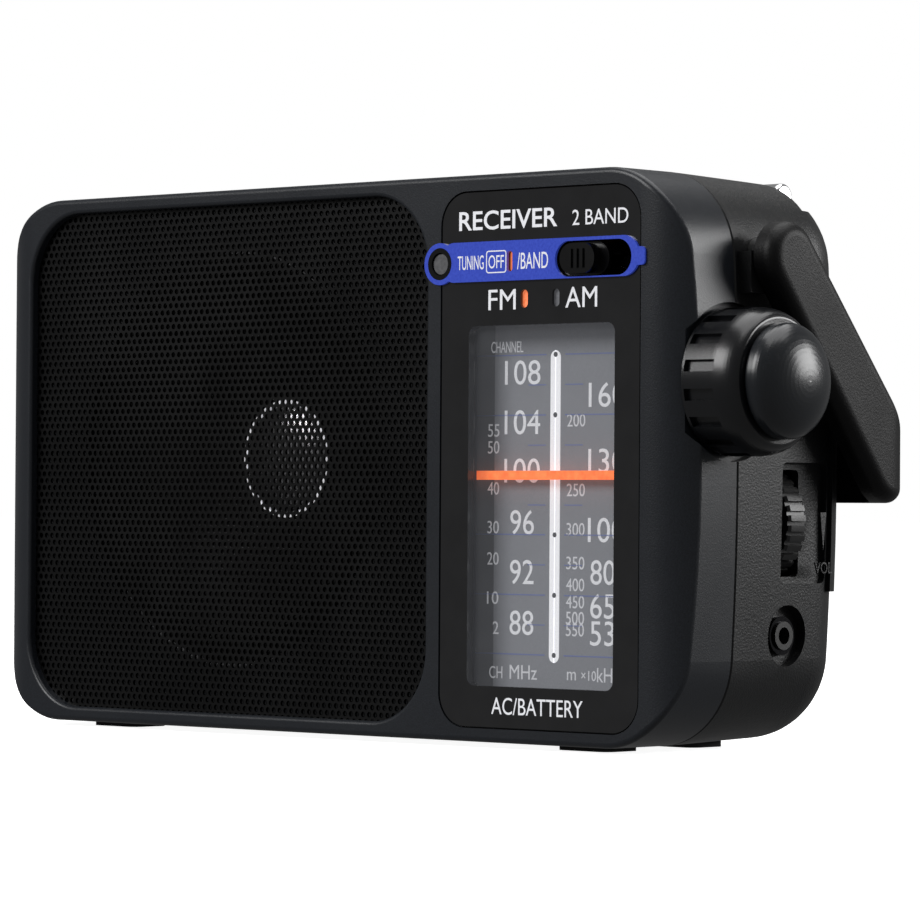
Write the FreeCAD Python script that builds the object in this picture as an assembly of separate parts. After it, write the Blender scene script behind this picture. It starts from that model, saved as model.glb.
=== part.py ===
import FreeCAD, Part
import math
import os

# Portable two-band receiver: a front and a rear cabinet, speaker, tuning drive, band
# slider, volume wheel, carrying handle, telescopic antenna and battery bay.
# Millimetres. +X runs to the listener's right, +Y into the set and +Z up. The drawing is
# made with x = 0 at the middle of the case, y = 0 on its front face and z = 0 under the
# feet; stand_on_origin then puts the origin under the middle of the whole set.

V = FreeCAD.Vector
X, Y, Z = V(1, 0, 0), V(0, 1, 0), V(0, 0, 1)

# ---- case ----
CASE_W = 210.0          # over the bowed sides
CASE_TOP = 122.0
FOOT_H = 1.2            # the case stands this far up
CASE_DEPTH = 60.0       # front face to back face
SEAM_Y = 18.2           # where front and rear cabinets meet
CORNER_R = 19.5         # seen from the front
SIDE_BOW_R = 695.0      # the sides bulge slightly
ROLL_R = 13.35          # roll from the front face to the sides
REAR_DRAFT = 1.2        # the rear cabinet narrows this much by its back
BACK_R = 14.0           # round edge of the back
WALL = 2.2
FRONT_EDGE_R = 1.2
MOUTH_R = 0.9           # round edge of the grille opening
SEAM_BEVEL = 0.35
MID_Z = (CASE_TOP + FOOT_H) / 2
HALF_W = CASE_W / 2
ROLL_X = HALF_W - 11.4  # the front face rolls back beyond this

# ---- clearances ----
GLUE_GAP = 0.1          # a fixed piece in its seat
SHUT_GAP = 0.3          # a moving piece beside a fixed one
RUN_GAP = 0.05          # a shaft in its bearing, on the radius

# ---- dial ----
DIAL_X = HALF_W - 67.2  # left edge of the dial panel; the dial's parts are placed from it
PANEL_LOW = 4.5
PANEL = (DIAL_X, DIAL_X + 55.7, PANEL_LOW, CASE_TOP - 3.8)
PANEL_R = 7.0
PANEL_T = 2.0
PANEL_SINK = 0.15
PANEL_GROOVE = 0.35
FLOOR_T = 1.6           # floor of the pocket behind the panel
FLOOR_LAP = 2.0
WINDOW = (DIAL_X + 7.8, DIAL_X + 48.9, 13.2, CASE_TOP - 32.3)
WINDOW_R = 2.0
WINDOW_LEDGE = 0.8      # the opening behind the window is this much bigger
SCALE_Y = 7.2           # front of the scale plate
SCALE_T = 1.0
BOX = (DIAL_X + 1.0, DIAL_X + 49.6, 12.4, CASE_TOP - 31.6)  # inside of the light box
BOX_WALL = 1.0
POINTER_TOP = CASE_TOP - 38.4          # highest and lowest places of the pointer
POINTER_LOW = 19.9
POINTER_Z = POINTER_LOW + 0.598 * (POINTER_TOP - POINTER_LOW)  # where the pointer rests
POINTER_H = 1.9
POINTER_Y = (4.6, 5.4)
CLIP_PAST = 0.35        # the pointer's clip reaches this far behind the cord's middle

# ---- grille ----
GRILLE = (-ROLL_X, DIAL_X - 4.6, 4.5, CASE_TOP - 3.4)       # x0, x1, z0, z1 of the opening
GRILLE_R = 16.0
GRILLE_LIP = 1.5        # the sheet reaches this far past the opening
GRILLE_T = 0.6
GRILLE_SEAT = 1.2       # depth of the sheet's seat behind the front wall

# ---- speaker ----
SPK_X = (GRILLE[0] + GRILLE[1]) / 2 + 0.2
SPK_Z = (GRILLE[2] + GRILLE[3]) / 2 + 0.45
SPK_R = min(GRILLE[1] - GRILLE[0], GRILLE[3] - GRILLE[2]) / 2 - 6.05  # fits the smaller side
SPK_FRONT_Y = 5.0
SPK_DEPTH = CASE_DEPTH - 27.0
BAFFLE_T = SPK_FRONT_Y - WALL - GRILLE_SEAT
BAFFLE_R = SPK_R - 4.0
CONE_R = SPK_R - 10.0
CONE_DEEP = 0.515 * SPK_DEPTH
CONE_T = 0.6
CONE_FRONT_Y = SPK_FRONT_Y - 0.6
COIL_R = 12.75
COIL_GAP = 0.7          # air on each side of the voice coil
BASKET_BACK_Y = SPK_FRONT_Y + 0.6364 * SPK_DEPTH
BASKET_T = 1.2
PLATE_R = 0.51 * SPK_R
MAGNET_R = 0.588 * SPK_R
PLATE_T = 2.0

# ---- tuning drive ----
KNOB_R = 15.4
KNOB_Y = KNOB_R + 1.0
KNOB_BASE_X = HALF_W - 1.7
KNOB_SHOULDER_X = KNOB_BASE_X + 8.3
KNOB_NECK_X = KNOB_BASE_X + 14.2
KNOB_TIP_X = KNOB_BASE_X + 22.2
KNOB_CAP_R = KNOB_R - 3.4
KNOB_NOTCHES = 16
NOTCH_W = 2.5
NOTCH_DEPTH = 1.1
RECESS_R = KNOB_R + 1.2
RECESS_WALL = 1.8       # thickness behind and round the recess
SHAFT_R = 3.0
BUSHING_R = SHAFT_R + 1.6
BUSHING_X = KNOB_BASE_X - 8.3
CORD_R = 0.4
SHAFT_CORD_R = 3.3      # radius at which the cord runs round the shaft
PULLEY_CORD_R = 3.0
PULLEY_PIN_R = 1.0
CORD_X = DIAL_X - 2.8   # the plane of the dial cord
FRONT_RUN_Y = KNOB_Y - SHAFT_CORD_R
RIM_PAST = CORD_R + 0.2 # a grooved wheel's rim stands this far past the cord's radius
RAIL_R = 0.8
RAIL_Y = 9.2

# ---- volume wheel, behind the main board ----
BOARD = (DIAL_X + 1.8, DIAL_X + 45.2, 10.0, CASE_TOP - 10.0)
BOARD_Y, BOARD_T = KNOB_Y + 6.8, 1.6
BOARD_BACK = BOARD_Y + BOARD_T
WHEEL_R = 12.5
WHEEL_Z = 0.395 * CASE_TOP
WHEEL_Y = (BOARD_BACK + 10.0, BOARD_BACK + 15.8)
WHEEL_OUT = 0.7         # the rim stands this far out of the side
WHEEL_X = HALF_W + WHEEL_OUT - WHEEL_R
WHEEL_SLOT = (WHEEL_Y[0] - 0.8, WHEEL_Y[1] + 1.1, WHEEL_Z - WHEEL_R + 1.2, WHEEL_Z + WHEEL_R - 1.2)
WHEEL_DISH = (WHEEL_Y[0] - 1.2, WHEEL_Y[1] + 8.8, WHEEL_Z - WHEEL_R - 0.2, WHEEL_Z + WHEEL_R + 0.3)
DISH_DEPTH = 1.8
WHEEL_RIBS = 36
POT_SHAFT_R = 2.0
POT_R = 7.0

# ---- band slider ----
BAR_Z = (CASE_TOP - 22.9, CASE_TOP - 14.4)
BAR_X1 = DIAL_X + 57.4
BAR_T = 0.6
BAR_R = 4.2
LED_X, LED_Z = DIAL_X - 0.3, CASE_TOP - 18.8
LED_RING_R = 4.5
LED_BEZEL_R = 3.45
LED_R = 2.4
SLOT = (DIAL_X + 32.7, DIAL_X + 53.8, BAR_Z[0] + 0.3, BAR_Z[1] - 0.7)
SLOT_R = 3.7
SLIDE_TRAVEL = 7.0
SLIDER_L = 13.6
SLIDER_X = SLOT[0] + SHUT_GAP
SLIDER_Z = (SLOT[2] + SLOT[3]) / 2
STEM_X = SLIDER_X + SLIDER_L / 2
STEM_W = 3.2
LEVER_W = 2.4
NUB_L = 9.6
NUB_PROUD = 1.6
NUB_RIB = 0.4
FLAG_Y = (2.5, 3.1)
FLAG_PAD_Y = 1.05       # the flag's pads come this close behind the panel's thin skin
FLAG_X0 = DIAL_X + 16.2
PANEL_SKIN = 0.6        # panel thickness round the lamp windows
LAMP_Z = CASE_TOP - 26.8               # the two band windows
LAMP_HALF = (1.0, 1.9)
FM_X, AM_X, OFF_X = DIAL_X + 23.6, DIAL_X + 32.5, DIAL_X + 19.9
FLAG_PADS = ((FLAG_X0, STEM_X + 3.0, LAMP_Z - 2.3, LAMP_Z + 2.3),
             (FLAG_X0, OFF_X + 4.0, LED_Z - 2.6, LED_Z + 2.6))
OFF_HALF = (0.8, 2.2)

# ---- earphone jack ----
JACK_Y, JACK_Z = WHEEL_Y[0] + 1.8, 0.2008 * CASE_TOP
JACK_BORE_R = 1.8
JACK_NOSE_R = 3.0
JACK_CUP_R = 6.5
JACK_FLOOR_X = HALF_W - 4.0
JACK_MOUTH_X = JACK_FLOOR_X + 1.8
JACK_DEEP = 14.0

# ---- handle ----
PIVOT_BEHIND = 10.8     # the pivot is this far behind the knob's axis
PIVOT_Y, PIVOT_Z = KNOB_Y + PIVOT_BEHIND, CASE_TOP - 18.5
ARM_X0, ARM_X1 = HALF_W + 2.6, HALF_W + 8.2
ARM_R = 7.5
GRIP_Y, GRIP_Z = CASE_DEPTH + 2.3, PIVOT_Z - 42.3      # middle of the handle's round end
GRIP_R = 8.6
GRIP_BACK_Y = CASE_DEPTH + 9.4         # flat back of the grip
GRIP_OUT_R = 10.0
GRIP_IN_R = 4.5
HANDLE_EDGE = 3.0
KNOB_CLEAR = 2.1        # between the knob and the handle's arm
ARM_RUN = math.hypot(GRIP_Y - PIVOT_Y, PIVOT_Z - GRIP_Z)
ARM_DROP = (PIVOT_Z - GRIP_Z) / ARM_RUN
KNOB_UNDER = (KNOB_R + ARM_R + KNOB_CLEAR - PIVOT_BEHIND * ARM_DROP) * ARM_RUN / (GRIP_Y - PIVOT_Y)
KNOB_Z = PIVOT_Z - KNOB_UNDER          # just clear of the arm
PIVOT_R = 2.5
PIVOT_PIN_X = HALF_W - 7.0
PIVOT_SKIN = 1.6        # the arm closes the outer end of its pin's hole
BOSS_R = 4.6
BOSS_X = HALF_W - 5.0
PAD_PROUD = 1.0         # pads on the rear corners, beside the grip
PAD_Z = (GRIP_Z - 27.5, GRIP_Z + 16.3)
PAD_X = HALF_W - 45.0

# ---- antenna ----
ROD_Y, ROD_Z = CASE_DEPTH - 8.4, CASE_TOP - 3.8
REBATE_Y, REBATE_Z = CASE_DEPTH - 12.4, CASE_TOP - 7.2 # the step that the folded rod lies in
REBATE_X = 4.0 - HALF_W
REBATE_WALL = 1.8
ROD_PIVOT_X = 14.0 - HALF_W
ROD_START_X = ROD_PIVOT_X + 7.0
ROD_L = 0.766 * CASE_W
SECTIONS = ((3.0, 2.55), (2.5, 2.05), (2.0, 1.55), (1.5, 0.0))
SECTION_STEP = 1.6      # each section shows this much past the one before
TIP_L = 8.6
KNUCKLE_R = 3.6
FORK_HALF = 3.1
TONGUE_HALF = 1.2
RIVET_R = 0.9
STEM_R = 2.2
TABLE_T = 0.5
EYE_R = 2.3

# ---- drum and idlers of the dial cord ----
DRUM_FRONT_Y = FRONT_RUN_Y + 1.5
DRUM_CORD_R = min((CASE_DEPTH - 4.0 - DRUM_FRONT_Y) / 2, 0.4511 * (CASE_TOP - KNOB_Z))
DRUM_Y = DRUM_FRONT_Y + RIM_PAST + DRUM_CORD_R
DRUM_UNDER_STEP = math.sqrt((DRUM_CORD_R + 0.76) ** 2 - (REBATE_Y - REBATE_WALL - DRUM_Y) ** 2)
DRUM_Z = REBATE_Z - REBATE_WALL - DRUM_UNDER_STEP      # just clear of the antenna's step
DRUM_W = 3.6
SPINDLE_R = 2.0
GANG_HALF = 10.6
PULLEY_Y = FRONT_RUN_Y + PULLEY_CORD_R
PULLEY_APART = DRUM_CORD_R + PULLEY_CORD_R + 2.1
PULLEY_TOP_Z = DRUM_Z + math.sqrt(PULLEY_APART ** 2 - (DRUM_Y - PULLEY_Y) ** 2)
PULLEY_LOW_Z = 12.0

# ---- battery bay ----
BAY_X = 0.2619 * CASE_W
BAY = (-BAY_X, BAY_X, 19.0, 49.0)
BAY_Y = CASE_DEPTH - 18.0
BAY_WALL = 1.5
DOOR_T = 2.1
DOOR_LAP = 1.5          # the door is this much bigger than the bay all round
DOOR_PIN_R = 0.8
CELL_Z = (26.6, 41.4)   # middles of the two rows of cells
CELL_R = 7.8

# ---- mains ----
INLET_X = 1.1 - HALF_W
INLET_Y, INLET_Z = CASE_DEPTH - 22.0, 0.59 * CASE_TOP
INLET_W, INLET_H = 18.0, 12.0
INLET_HOLE_W, INLET_HOLE_H = 15.0, 8.4
INLET_L = 17.0
INLET_PIN_PITCH = 8.6
INLET_PIN_R = 1.2
INLET_PIN_L = 14.0
CORE = (8.0 - HALF_W, 38.0 - HALF_W, CASE_DEPTH - 33.0, CASE_DEPTH - 11.0, 18.0, 46.0)
CORE_LEG = 10.0         # depth of the core's middle leg
WINDING_PROUD = 4.0

# ---- ferrite rod ----
FERRITE_Y, FERRITE_Z = CASE_DEPTH - 27.0, CASE_TOP - 10.5
FERRITE_X, FERRITE_L = 35.0 - HALF_W, 0.457 * CASE_W
FERRITE_R = 4.8

# ---- screws and feet ----
POST_X, POST_LOW_X = HALF_W - 10.5, HALF_W - 12.8
POST_Z = CASE_TOP - 34.0
POSTS = ((-POST_X, POST_Z), (POST_X, POST_Z), (-POST_LOW_X, 13), (POST_LOW_X, 13))
POST_R = 4.0
POST_FRONT_Y = 3.6
SCREW_R = 1.4
SCREW_HEAD_R = 2.8
SCREW_SEAT = 12.0       # the screw heads lie this far behind the seam
FOOT = (14.6, 11.0)
FOOT_X = HALF_W - 33.0
FOOT_YS = (12.5, CASE_DEPTH - 19.4)


# ---------------------------------------------------------------- small helpers
def block(x0, x1, y0, y1, z0, z1):
    """A box between two corners."""
    return Part.makeBox(x1 - x0, y1 - y0, z1 - z0, V(x0, y0, z0))


def rod(radius, start, along, length):
    """A round bar from start, length long in the direction along."""
    return Part.makeCylinder(radius, length, start, along)


def pipe(outer, inner, start, along, length):
    """A round tube."""
    return rod(outer, start, along, length).cut(rod(inner, start, along, length))


def arc(a, b, c):
    """An arc edge through three points."""
    return Part.Arc(a, b, c).toShape()


def line(a, b):
    """A straight edge."""
    return Part.LineSegment(a, b).toShape()


def prism(edges, travel):
    """The closed loop of edges made a face and carried along travel."""
    return Part.Face(Part.Wire(edges)).extrude(travel)


def slab(area, radius, y0, y1, grow=0.0):
    """A rectangle x0, x1, z0, z1 with round corners, from depth y0 to y1, grown all round."""
    x0, x1, z0, z1 = area[0] - grow, area[1] + grow, area[2] - grow, area[3] + grow
    r = max(radius + grow, 0.05)
    solid = block(x0, x1, y0, y1, z0, z1)
    edges = [e for e in solid.Edges if abs(e.BoundBox.YLength - (y1 - y0)) < 1e-6
             and e.BoundBox.XLength < 1e-6 and e.BoundBox.ZLength < 1e-6]
    return solid.makeFillet(min(r, (x1 - x0) / 2.01, (z1 - z0) / 2.01), edges)


def turned(profile, centre):
    """A closed loop of (x, radius) points turned about the X axis through centre."""
    points = [V(x, centre[0] + r, centre[1]) for x, r in profile]
    loop = Part.makePolygon(points + points[:1])
    return Part.Face(loop).revolve(V(0, centre[0], centre[1]), X, 360)


def joined(solids):
    """One solid from several that touch or overlap."""
    whole = solids[0]
    for solid in solids[1:]:
        whole = whole.fuse(solid)
    return whole.removeSplitter()


def without(solid, tools):
    """The solid with each tool cut away."""
    for tool in tools:
        solid = solid.cut(tool)
    return solid


def mirrored(solid):
    """The same solid on the other side of the middle."""
    return solid.mirror(V(0, 0, 0), X)


# ---------------------------------------------------------------- case
def outline(inset, y):
    """The case seen from the front: flat top and bottom, bowed sides, round corners."""
    bow_x = HALF_W - SIDE_BOW_R
    corner_z = CASE_TOP - CORNER_R - MID_Z
    reach = SIDE_BOW_R - CORNER_R
    corner_x = bow_x + math.sqrt(reach ** 2 - corner_z ** 2)
    r = CORNER_R - inset
    lean = math.asin(corner_z / reach)
    half_way = (math.pi / 2 + lean) / 2

    def at(sx, sz, turn):
        return V(sx * (corner_x + r * math.cos(turn)), y,
                 MID_Z + sz * (corner_z + r * math.sin(turn)))

    side_x = HALF_W - inset
    edges = [line(at(-1, 1, math.pi / 2), at(1, 1, math.pi / 2)),
             arc(at(1, 1, math.pi / 2), at(1, 1, half_way), at(1, 1, lean)),
             arc(at(1, 1, lean), V(side_x, y, MID_Z), at(1, -1, lean)),
             arc(at(1, -1, lean), at(1, -1, half_way), at(1, -1, math.pi / 2)),
             line(at(1, -1, math.pi / 2), at(-1, -1, math.pi / 2)),
             arc(at(-1, -1, math.pi / 2), at(-1, -1, half_way), at(-1, -1, lean)),
             arc(at(-1, -1, lean), V(-side_x, y, MID_Z), at(-1, 1, lean)),
             arc(at(-1, 1, lean), at(-1, 1, half_way), at(-1, 1, math.pi / 2))]
    return Part.Wire(edges)


def roll_profile(inset):
    """Seen from above: flat front, both ends rolling back on an arc, open to the rear."""
    r = ROLL_R - inset
    end_x = HALF_W - inset + 0.5
    turn = math.asin((end_x - ROLL_X) / r)
    z = -5.0
    back = CASE_DEPTH

    def at(side, angle):
        return V(side * (ROLL_X + r * math.sin(angle)), ROLL_R - r * math.cos(angle), z)

    edges = [line(at(-1, 0), at(1, 0)), arc(at(1, 0), at(1, turn / 2), at(1, turn)),
             line(at(1, turn), V(end_x, back, z)), line(V(end_x, back, z), V(-end_x, back, z)),
             line(V(-end_x, back, z), at(-1, turn)), arc(at(-1, turn), at(-1, turn / 2), at(-1, 0))]
    return prism(edges, V(0, 0, CASE_TOP + 20))


def front_form(inset, back):
    """The front cabinet as a solid block, stepped in all over by inset."""
    body = Part.Face(outline(inset, inset - 1.0)).extrude(V(0, back - inset + 1.0, 0))
    return body.common(roll_profile(inset))


def rear_form(inset, front):
    """The rear cabinet as a solid block with its round back, stepped in by inset."""
    back = CASE_DEPTH - inset
    slope = REAR_DRAFT / (CASE_DEPTH - SEAM_Y)
    wires = [outline(inset + slope * (y - SEAM_Y), y) for y in (front, back)]
    body = Part.makeLoft(wires, True, True)
    edges = [e for e in body.Edges if e.BoundBox.YMin > back - 0.01]
    return body.makeFillet(BACK_R - inset, edges)


def knob_recess():
    """The round space in the side wall that the tuning knob turns in."""
    return rod(RECESS_R, V(KNOB_BASE_X - 0.5, KNOB_Y, KNOB_Z), X, 20)


def knob_backing():
    """Disc inside the wall that closes the recess."""
    return rod(RECESS_R + RECESS_WALL - 0.4, V(KNOB_BASE_X - 0.5 - RECESS_WALL, KNOB_Y, KNOB_Z), X, 3.0)


def bushing_hole():
    """Hole for the tuning bushing, half in each cabinet."""
    return rod(BUSHING_R, V(BUSHING_X - 5, KNOB_Y, KNOB_Z), X, 20)


def front_cabinet():
    """Front moulding with the grille opening and the pocket for the dial panel."""
    outer = front_form(0.0, SEAM_Y)
    rim = [e for e in outer.Edges if e.BoundBox.YMax < ROLL_R
           and not (e.BoundBox.XLength < 1e-3 and abs(abs(e.BoundBox.XMin) - ROLL_X) < 1e-3)
           and e.BoundBox.YMax < SEAM_Y - 1]
    outer = outer.makeFillet(FRONT_EDGE_R, rim)
    seam = [e for e in outer.Edges if e.BoundBox.YMin > SEAM_Y - 0.01]
    outer = outer.makeChamfer(SEAM_BEVEL, seam)
    backing = knob_backing().common(front_form(0.4, SEAM_Y))
    pocket_back = PANEL_SINK + PANEL_T
    floor = slab(PANEL, PANEL_R, pocket_back, pocket_back + FLOOR_T, FLOOR_LAP)
    seat_back = WALL + GRILLE_SEAT
    baffle = slab(GRILLE, GRILLE_R, seat_back, seat_back + BAFFLE_T, 3.0)
    baffle = baffle.common(block(-HALF_W, GRILLE[1] - 0.8, 0, 20, 0, CASE_TOP))
    baffle = baffle.cut(rod(BAFFLE_R, V(SPK_X, 0, SPK_Z), Y, 20))
    posts = [rod(POST_R - 0.5, V(x, POST_FRONT_Y, z), Y, SEAM_Y - POST_FRONT_Y) for x, z in POSTS]
    shell = outer.cut(front_form(WALL, SEAM_Y + 1))
    inside = front_form(0.6, SEAM_Y)
    shell = joined([shell, backing] + [p.common(inside) for p in [floor, baffle] + posts])
    cuts = [slab(GRILLE, GRILLE_R, -1, WALL + 0.5),
            slab(GRILLE, GRILLE_R, WALL, seat_back, GRILLE_LIP + GLUE_GAP),
            slab(PANEL, PANEL_R, -1, pocket_back, PANEL_GROOVE),
            slab(WINDOW, WINDOW_R, 1, 6, WINDOW_LEDGE),
            block(DIAL_X + 14.2, PANEL[1] - 0.9, 1, 6, LAMP_Z - 3.4, BAR_Z[1] - 0.4),
            rod(LED_BEZEL_R + GLUE_GAP, V(LED_X, -1, LED_Z), Y, 8),
            knob_recess(), bushing_hole()]
    cuts += [rod(SCREW_R, V(x, POST_FRONT_Y + 2.4, z), Y, 20) for x, z in POSTS]
    shell = without(shell, cuts)
    mouth = [e for e in shell.Edges if e.BoundBox.YMax < 0.01 and e.BoundBox.XMax < GRILLE[1] + 0.1
             and e.BoundBox.XMin > GRILLE[0] - 0.1 and e.BoundBox.ZMin > GRILLE[2] - 0.1
             and e.BoundBox.ZMax < GRILLE[3] + 0.1]
    return shell.makeFillet(MOUTH_R, mouth)


def side_x(y):
    """How far out the rear cabinet's side stands at depth y, at mid height."""
    return HALF_W - REAR_DRAFT * (y - SEAM_Y) / (CASE_DEPTH - SEAM_Y)


def wheel_dish():
    """The shallow dish in the side that shows the volume wheel."""
    y0, y1, z0, z1 = WHEEL_DISH
    x0 = side_x(WHEEL_DISH[1]) - DISH_DEPTH
    solid = block(x0, HALF_W + 3, y0, y1, z0, z1)
    edges = [e for e in solid.Edges if e.BoundBox.XLength > 1]
    return solid.makeFillet(1.5, edges)


def wheel_slot():
    """The slot that the volume wheel comes out of."""
    y0, y1, z0, z1 = WHEEL_SLOT
    solid = block(WHEEL_X, HALF_W + 3, y0, y1, z0, z1)
    edges = [e for e in solid.Edges if e.BoundBox.XLength > 1]
    return solid.makeFillet(1.2, edges)


def pivot_boss():
    """Block on the side of the case that carries the handle's pivot."""
    length = ARM_X0 - SHUT_GAP - BOSS_X
    round_part = rod(BOSS_R, V(BOSS_X, PIVOT_Y, PIVOT_Z), X, length)
    stop = block(BOSS_X, BOSS_X + length, SEAM_Y + 1.2, PIVOT_Y, PIVOT_Z - ARM_R, PIVOT_Z + 1.2)
    return joined([round_part, stop])


def corner_pad():
    """Raised pad round a rear corner, where the handle's end comes down."""
    swollen = rear_form(-PAD_PROUD, SEAM_Y)
    return swollen.common(block(PAD_X, HALF_W + 5, CASE_DEPTH - 9.4, CASE_DEPTH + 5, *PAD_Z))


def door_area(grow=0.0):
    """The battery door's rectangle x0, x1, z0, z1."""
    grow += DOOR_LAP
    return (BAY[0] - grow, BAY[1] + grow, BAY[2] - grow, BAY[3] + grow)


def rear_cabinet():
    """Rear moulding: deep shell with the antenna's step, battery opening and screw posts."""
    outer = rear_form(0.0, SEAM_Y)
    seam = [e for e in outer.Edges if e.BoundBox.YMax < SEAM_Y + 0.01]
    outer = outer.makeChamfer(SEAM_BEVEL, seam)
    pads = [corner_pad(), mirrored(corner_pad())]
    step = block(REBATE_X, HALF_W, REBATE_Y, CASE_DEPTH + 9, REBATE_Z, CASE_TOP + 5)
    under_step = block(-HALF_W, HALF_W, REBATE_Y - REBATE_WALL, CASE_DEPTH + 9,
                       REBATE_Z - REBATE_WALL, CASE_TOP + 5)
    hollow = rear_form(WALL, SEAM_Y - 1).cut(under_step)
    y0, y1, z0, z1 = WHEEL_DISH
    thick = block(side_x(y1) - DISH_DEPTH - 2.0, HALF_W, y0 - 2.5, y1 + 2, z0 - 2.5, z1 + 2.5)
    inside = rear_form(0.3, SEAM_Y)
    jack_pad = rod(JACK_CUP_R + 1.6, V(JACK_FLOOR_X - 1.6, JACK_Y, JACK_Z), X, 8)
    inlet_wall = block(-HALF_W, 9.0 - HALF_W, INLET_Y - INLET_W / 2 - 1.5, INLET_Y + INLET_W / 2 + 1.5,
                       INLET_Z - INLET_H / 2 - 1.5, INLET_Z + INLET_H / 2 + 1.5)
    posts = [rod(POST_R, V(x, SEAM_Y, z), Y, CASE_DEPTH - SEAM_Y) for x, z in POSTS]
    extras = [thick, jack_pad, inlet_wall, knob_backing().common(block(0, HALF_W, SEAM_Y, CASE_DEPTH, 0, CASE_TOP))]
    shell = outer.fuse(pads).cut(hollow)
    shell = joined([shell] + [e.common(inside) for e in extras + posts])
    boss = pivot_boss()
    shell = joined([shell, boss.cut(inside), mirrored(boss).cut(inside),
                    boss.common(inside), mirrored(boss).common(inside)])
    x0, x1, z0, z1 = door_area(SHUT_GAP)
    door_y = CASE_DEPTH - DOOR_T / 2
    door_z = BAY[2] - DOOR_LAP + DOOR_T / 2
    pin_x = PIVOT_PIN_X - 6.0
    pivot_len = ARM_X1 - pin_x
    cuts = [step, wheel_dish(), wheel_slot(), knob_recess(), bushing_hole(),
            rod(JACK_CUP_R, V(JACK_FLOOR_X, JACK_Y, JACK_Z), X, 9),
            rod(JACK_NOSE_R, V(JACK_FLOOR_X - 11, JACK_Y, JACK_Z), X, 20),
            block(-HALF_W - 2, 10.0 - HALF_W, INLET_Y - INLET_W / 2, INLET_Y + INLET_W / 2,
                  INLET_Z - INLET_H / 2, INLET_Z + INLET_H / 2),
            block(x0, x1, CASE_DEPTH - WALL - 1, CASE_DEPTH + 5, z0, z1),
            rod(DOOR_PIN_R + RUN_GAP, V(x0 - 2.0, door_y, door_z), X, x1 - x0 + 4.0),
            rod(PIVOT_R, V(pin_x, PIVOT_Y, PIVOT_Z), X, pivot_len),
            rod(PIVOT_R, V(-ARM_X1, PIVOT_Y, PIVOT_Z), X, pivot_len),
            rod(STEM_R, V(ROD_PIVOT_X, ROD_Y, REBATE_Z - 6), Z, 12)]
    for x, z in POSTS:
        cuts.append(rod(SCREW_R, V(x, SEAM_Y - 1, z), Y, 60))
        cuts.append(rod(SCREW_HEAD_R + 0.4, V(x, SEAM_Y + SCREW_SEAT, z), Y, 60))
    return without(shell, cuts)


def speaker_grille():
    """Perforated sheet over the speaker, plain here, seated behind the opening."""
    return slab(GRILLE, GRILLE_R, WALL, WALL + GRILLE_T, GRILLE_LIP)


def rubber_feet():
    """Four pads under the case."""
    w, d = FOOT
    pads = []
    for y in FOOT_YS:
        for x in (-FOOT_X, FOOT_X):
            pad = block(x - w / 2, x + w / 2, y - d / 2, y + d / 2, 0, FOOT_H)
            edges = [e for e in pad.Edges if e.BoundBox.ZLength > FOOT_H - 0.01]
            pads.append(pad.makeFillet(2.5, edges))
    return Part.makeCompound(pads)


def case_screws():
    """Four screws from the back, through the rear posts into the front ones."""
    screws = []
    for x, z in POSTS:
        head_y = SEAM_Y + SCREW_SEAT
        head = rod(SCREW_HEAD_R, V(x, head_y, z), Y, 2.0)
        slot = joined([block(x - 1.8, x + 1.8, head_y + 1, head_y + 3, z - 0.4, z + 0.4),
                       block(x - 0.4, x + 0.4, head_y + 1, head_y + 3, z - 1.8, z + 1.8)])
        tip_y = POST_FRONT_Y + 3.4
        screws.append(joined([head, rod(SCREW_R, V(x, tip_y, z), Y, head_y - tip_y + 0.5)]).cut(slot))
    return Part.makeCompound(screws)


# ---------------------------------------------------------------- dial
def lamp_opening(x, z, half):
    """Long round-ended opening for a lamp window, half = (half width, half height)."""
    w, h = half
    return slab((x - w, x + w, z - h, z + h), w - 0.05, -2, 5)


def dial_panel():
    """Smoked front panel with the clear window's opening and three small lamp windows."""
    back = PANEL_SINK + PANEL_T
    panel = slab(PANEL, PANEL_R, PANEL_SINK, back)
    thinned = [block(x0 - SHUT_GAP, x1 + SLIDE_TRAVEL + SHUT_GAP, PANEL_SINK + PANEL_SKIN, 5,
                     z0 - SHUT_GAP, z1 + SHUT_GAP) for x0, x1, z0, z1 in FLAG_PADS]
    windows = [lamp_opening(FM_X, LAMP_Z, LAMP_HALF), lamp_opening(AM_X, LAMP_Z, LAMP_HALF),
               lamp_opening(OFF_X, LED_Z, OFF_HALF), slab(WINDOW, WINDOW_R, -1, 5),
               slab(SLOT, SLOT_R, -1, 5), rod(LED_BEZEL_R + GLUE_GAP, V(LED_X, -1, LED_Z), Y, 8)]
    return without(panel, windows + thinned)


def dial_window():
    """Clear lens let into the panel."""
    return slab(WINDOW, WINDOW_R, PANEL_SINK, PANEL_SINK + PANEL_T)


def band_trim():
    """Blue bar on the panel, with a ring round the lamp and a loop round the slider."""
    z0, z1 = BAR_Z
    y0, y1 = PANEL_SINK - BAR_T, PANEL_SINK
    bar = slab((LED_X, BAR_X1 - 1.6, z0, z1), BAR_R, y0, y1)
    ring = rod(LED_RING_R, V(LED_X, y0, LED_Z), Y, BAR_T)
    tab = slab((BAR_X1 - 6, BAR_X1, LED_Z - 1.9, LED_Z + 1.9), 0.9, y0, y1)
    return without(joined([bar, ring, tab]),
                   [slab(SLOT, SLOT_R, -2, 5), lamp_opening(OFF_X, LED_Z, OFF_HALF),
                    rod(LED_BEZEL_R, V(LED_X, -2, LED_Z), Y, 8),
                    block(-HALF_W, PANEL[0], 0, 5, 0, CASE_TOP), block(PANEL[1], HALF_W, 0, 5, 0, CASE_TOP)])


def led_bezel():
    """Black ring that holds the tuning lamp."""
    y0 = PANEL_SINK - BAR_T
    return pipe(LED_BEZEL_R, LED_R, V(LED_X, y0, LED_Z), Y, WALL - GLUE_GAP - y0)


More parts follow.
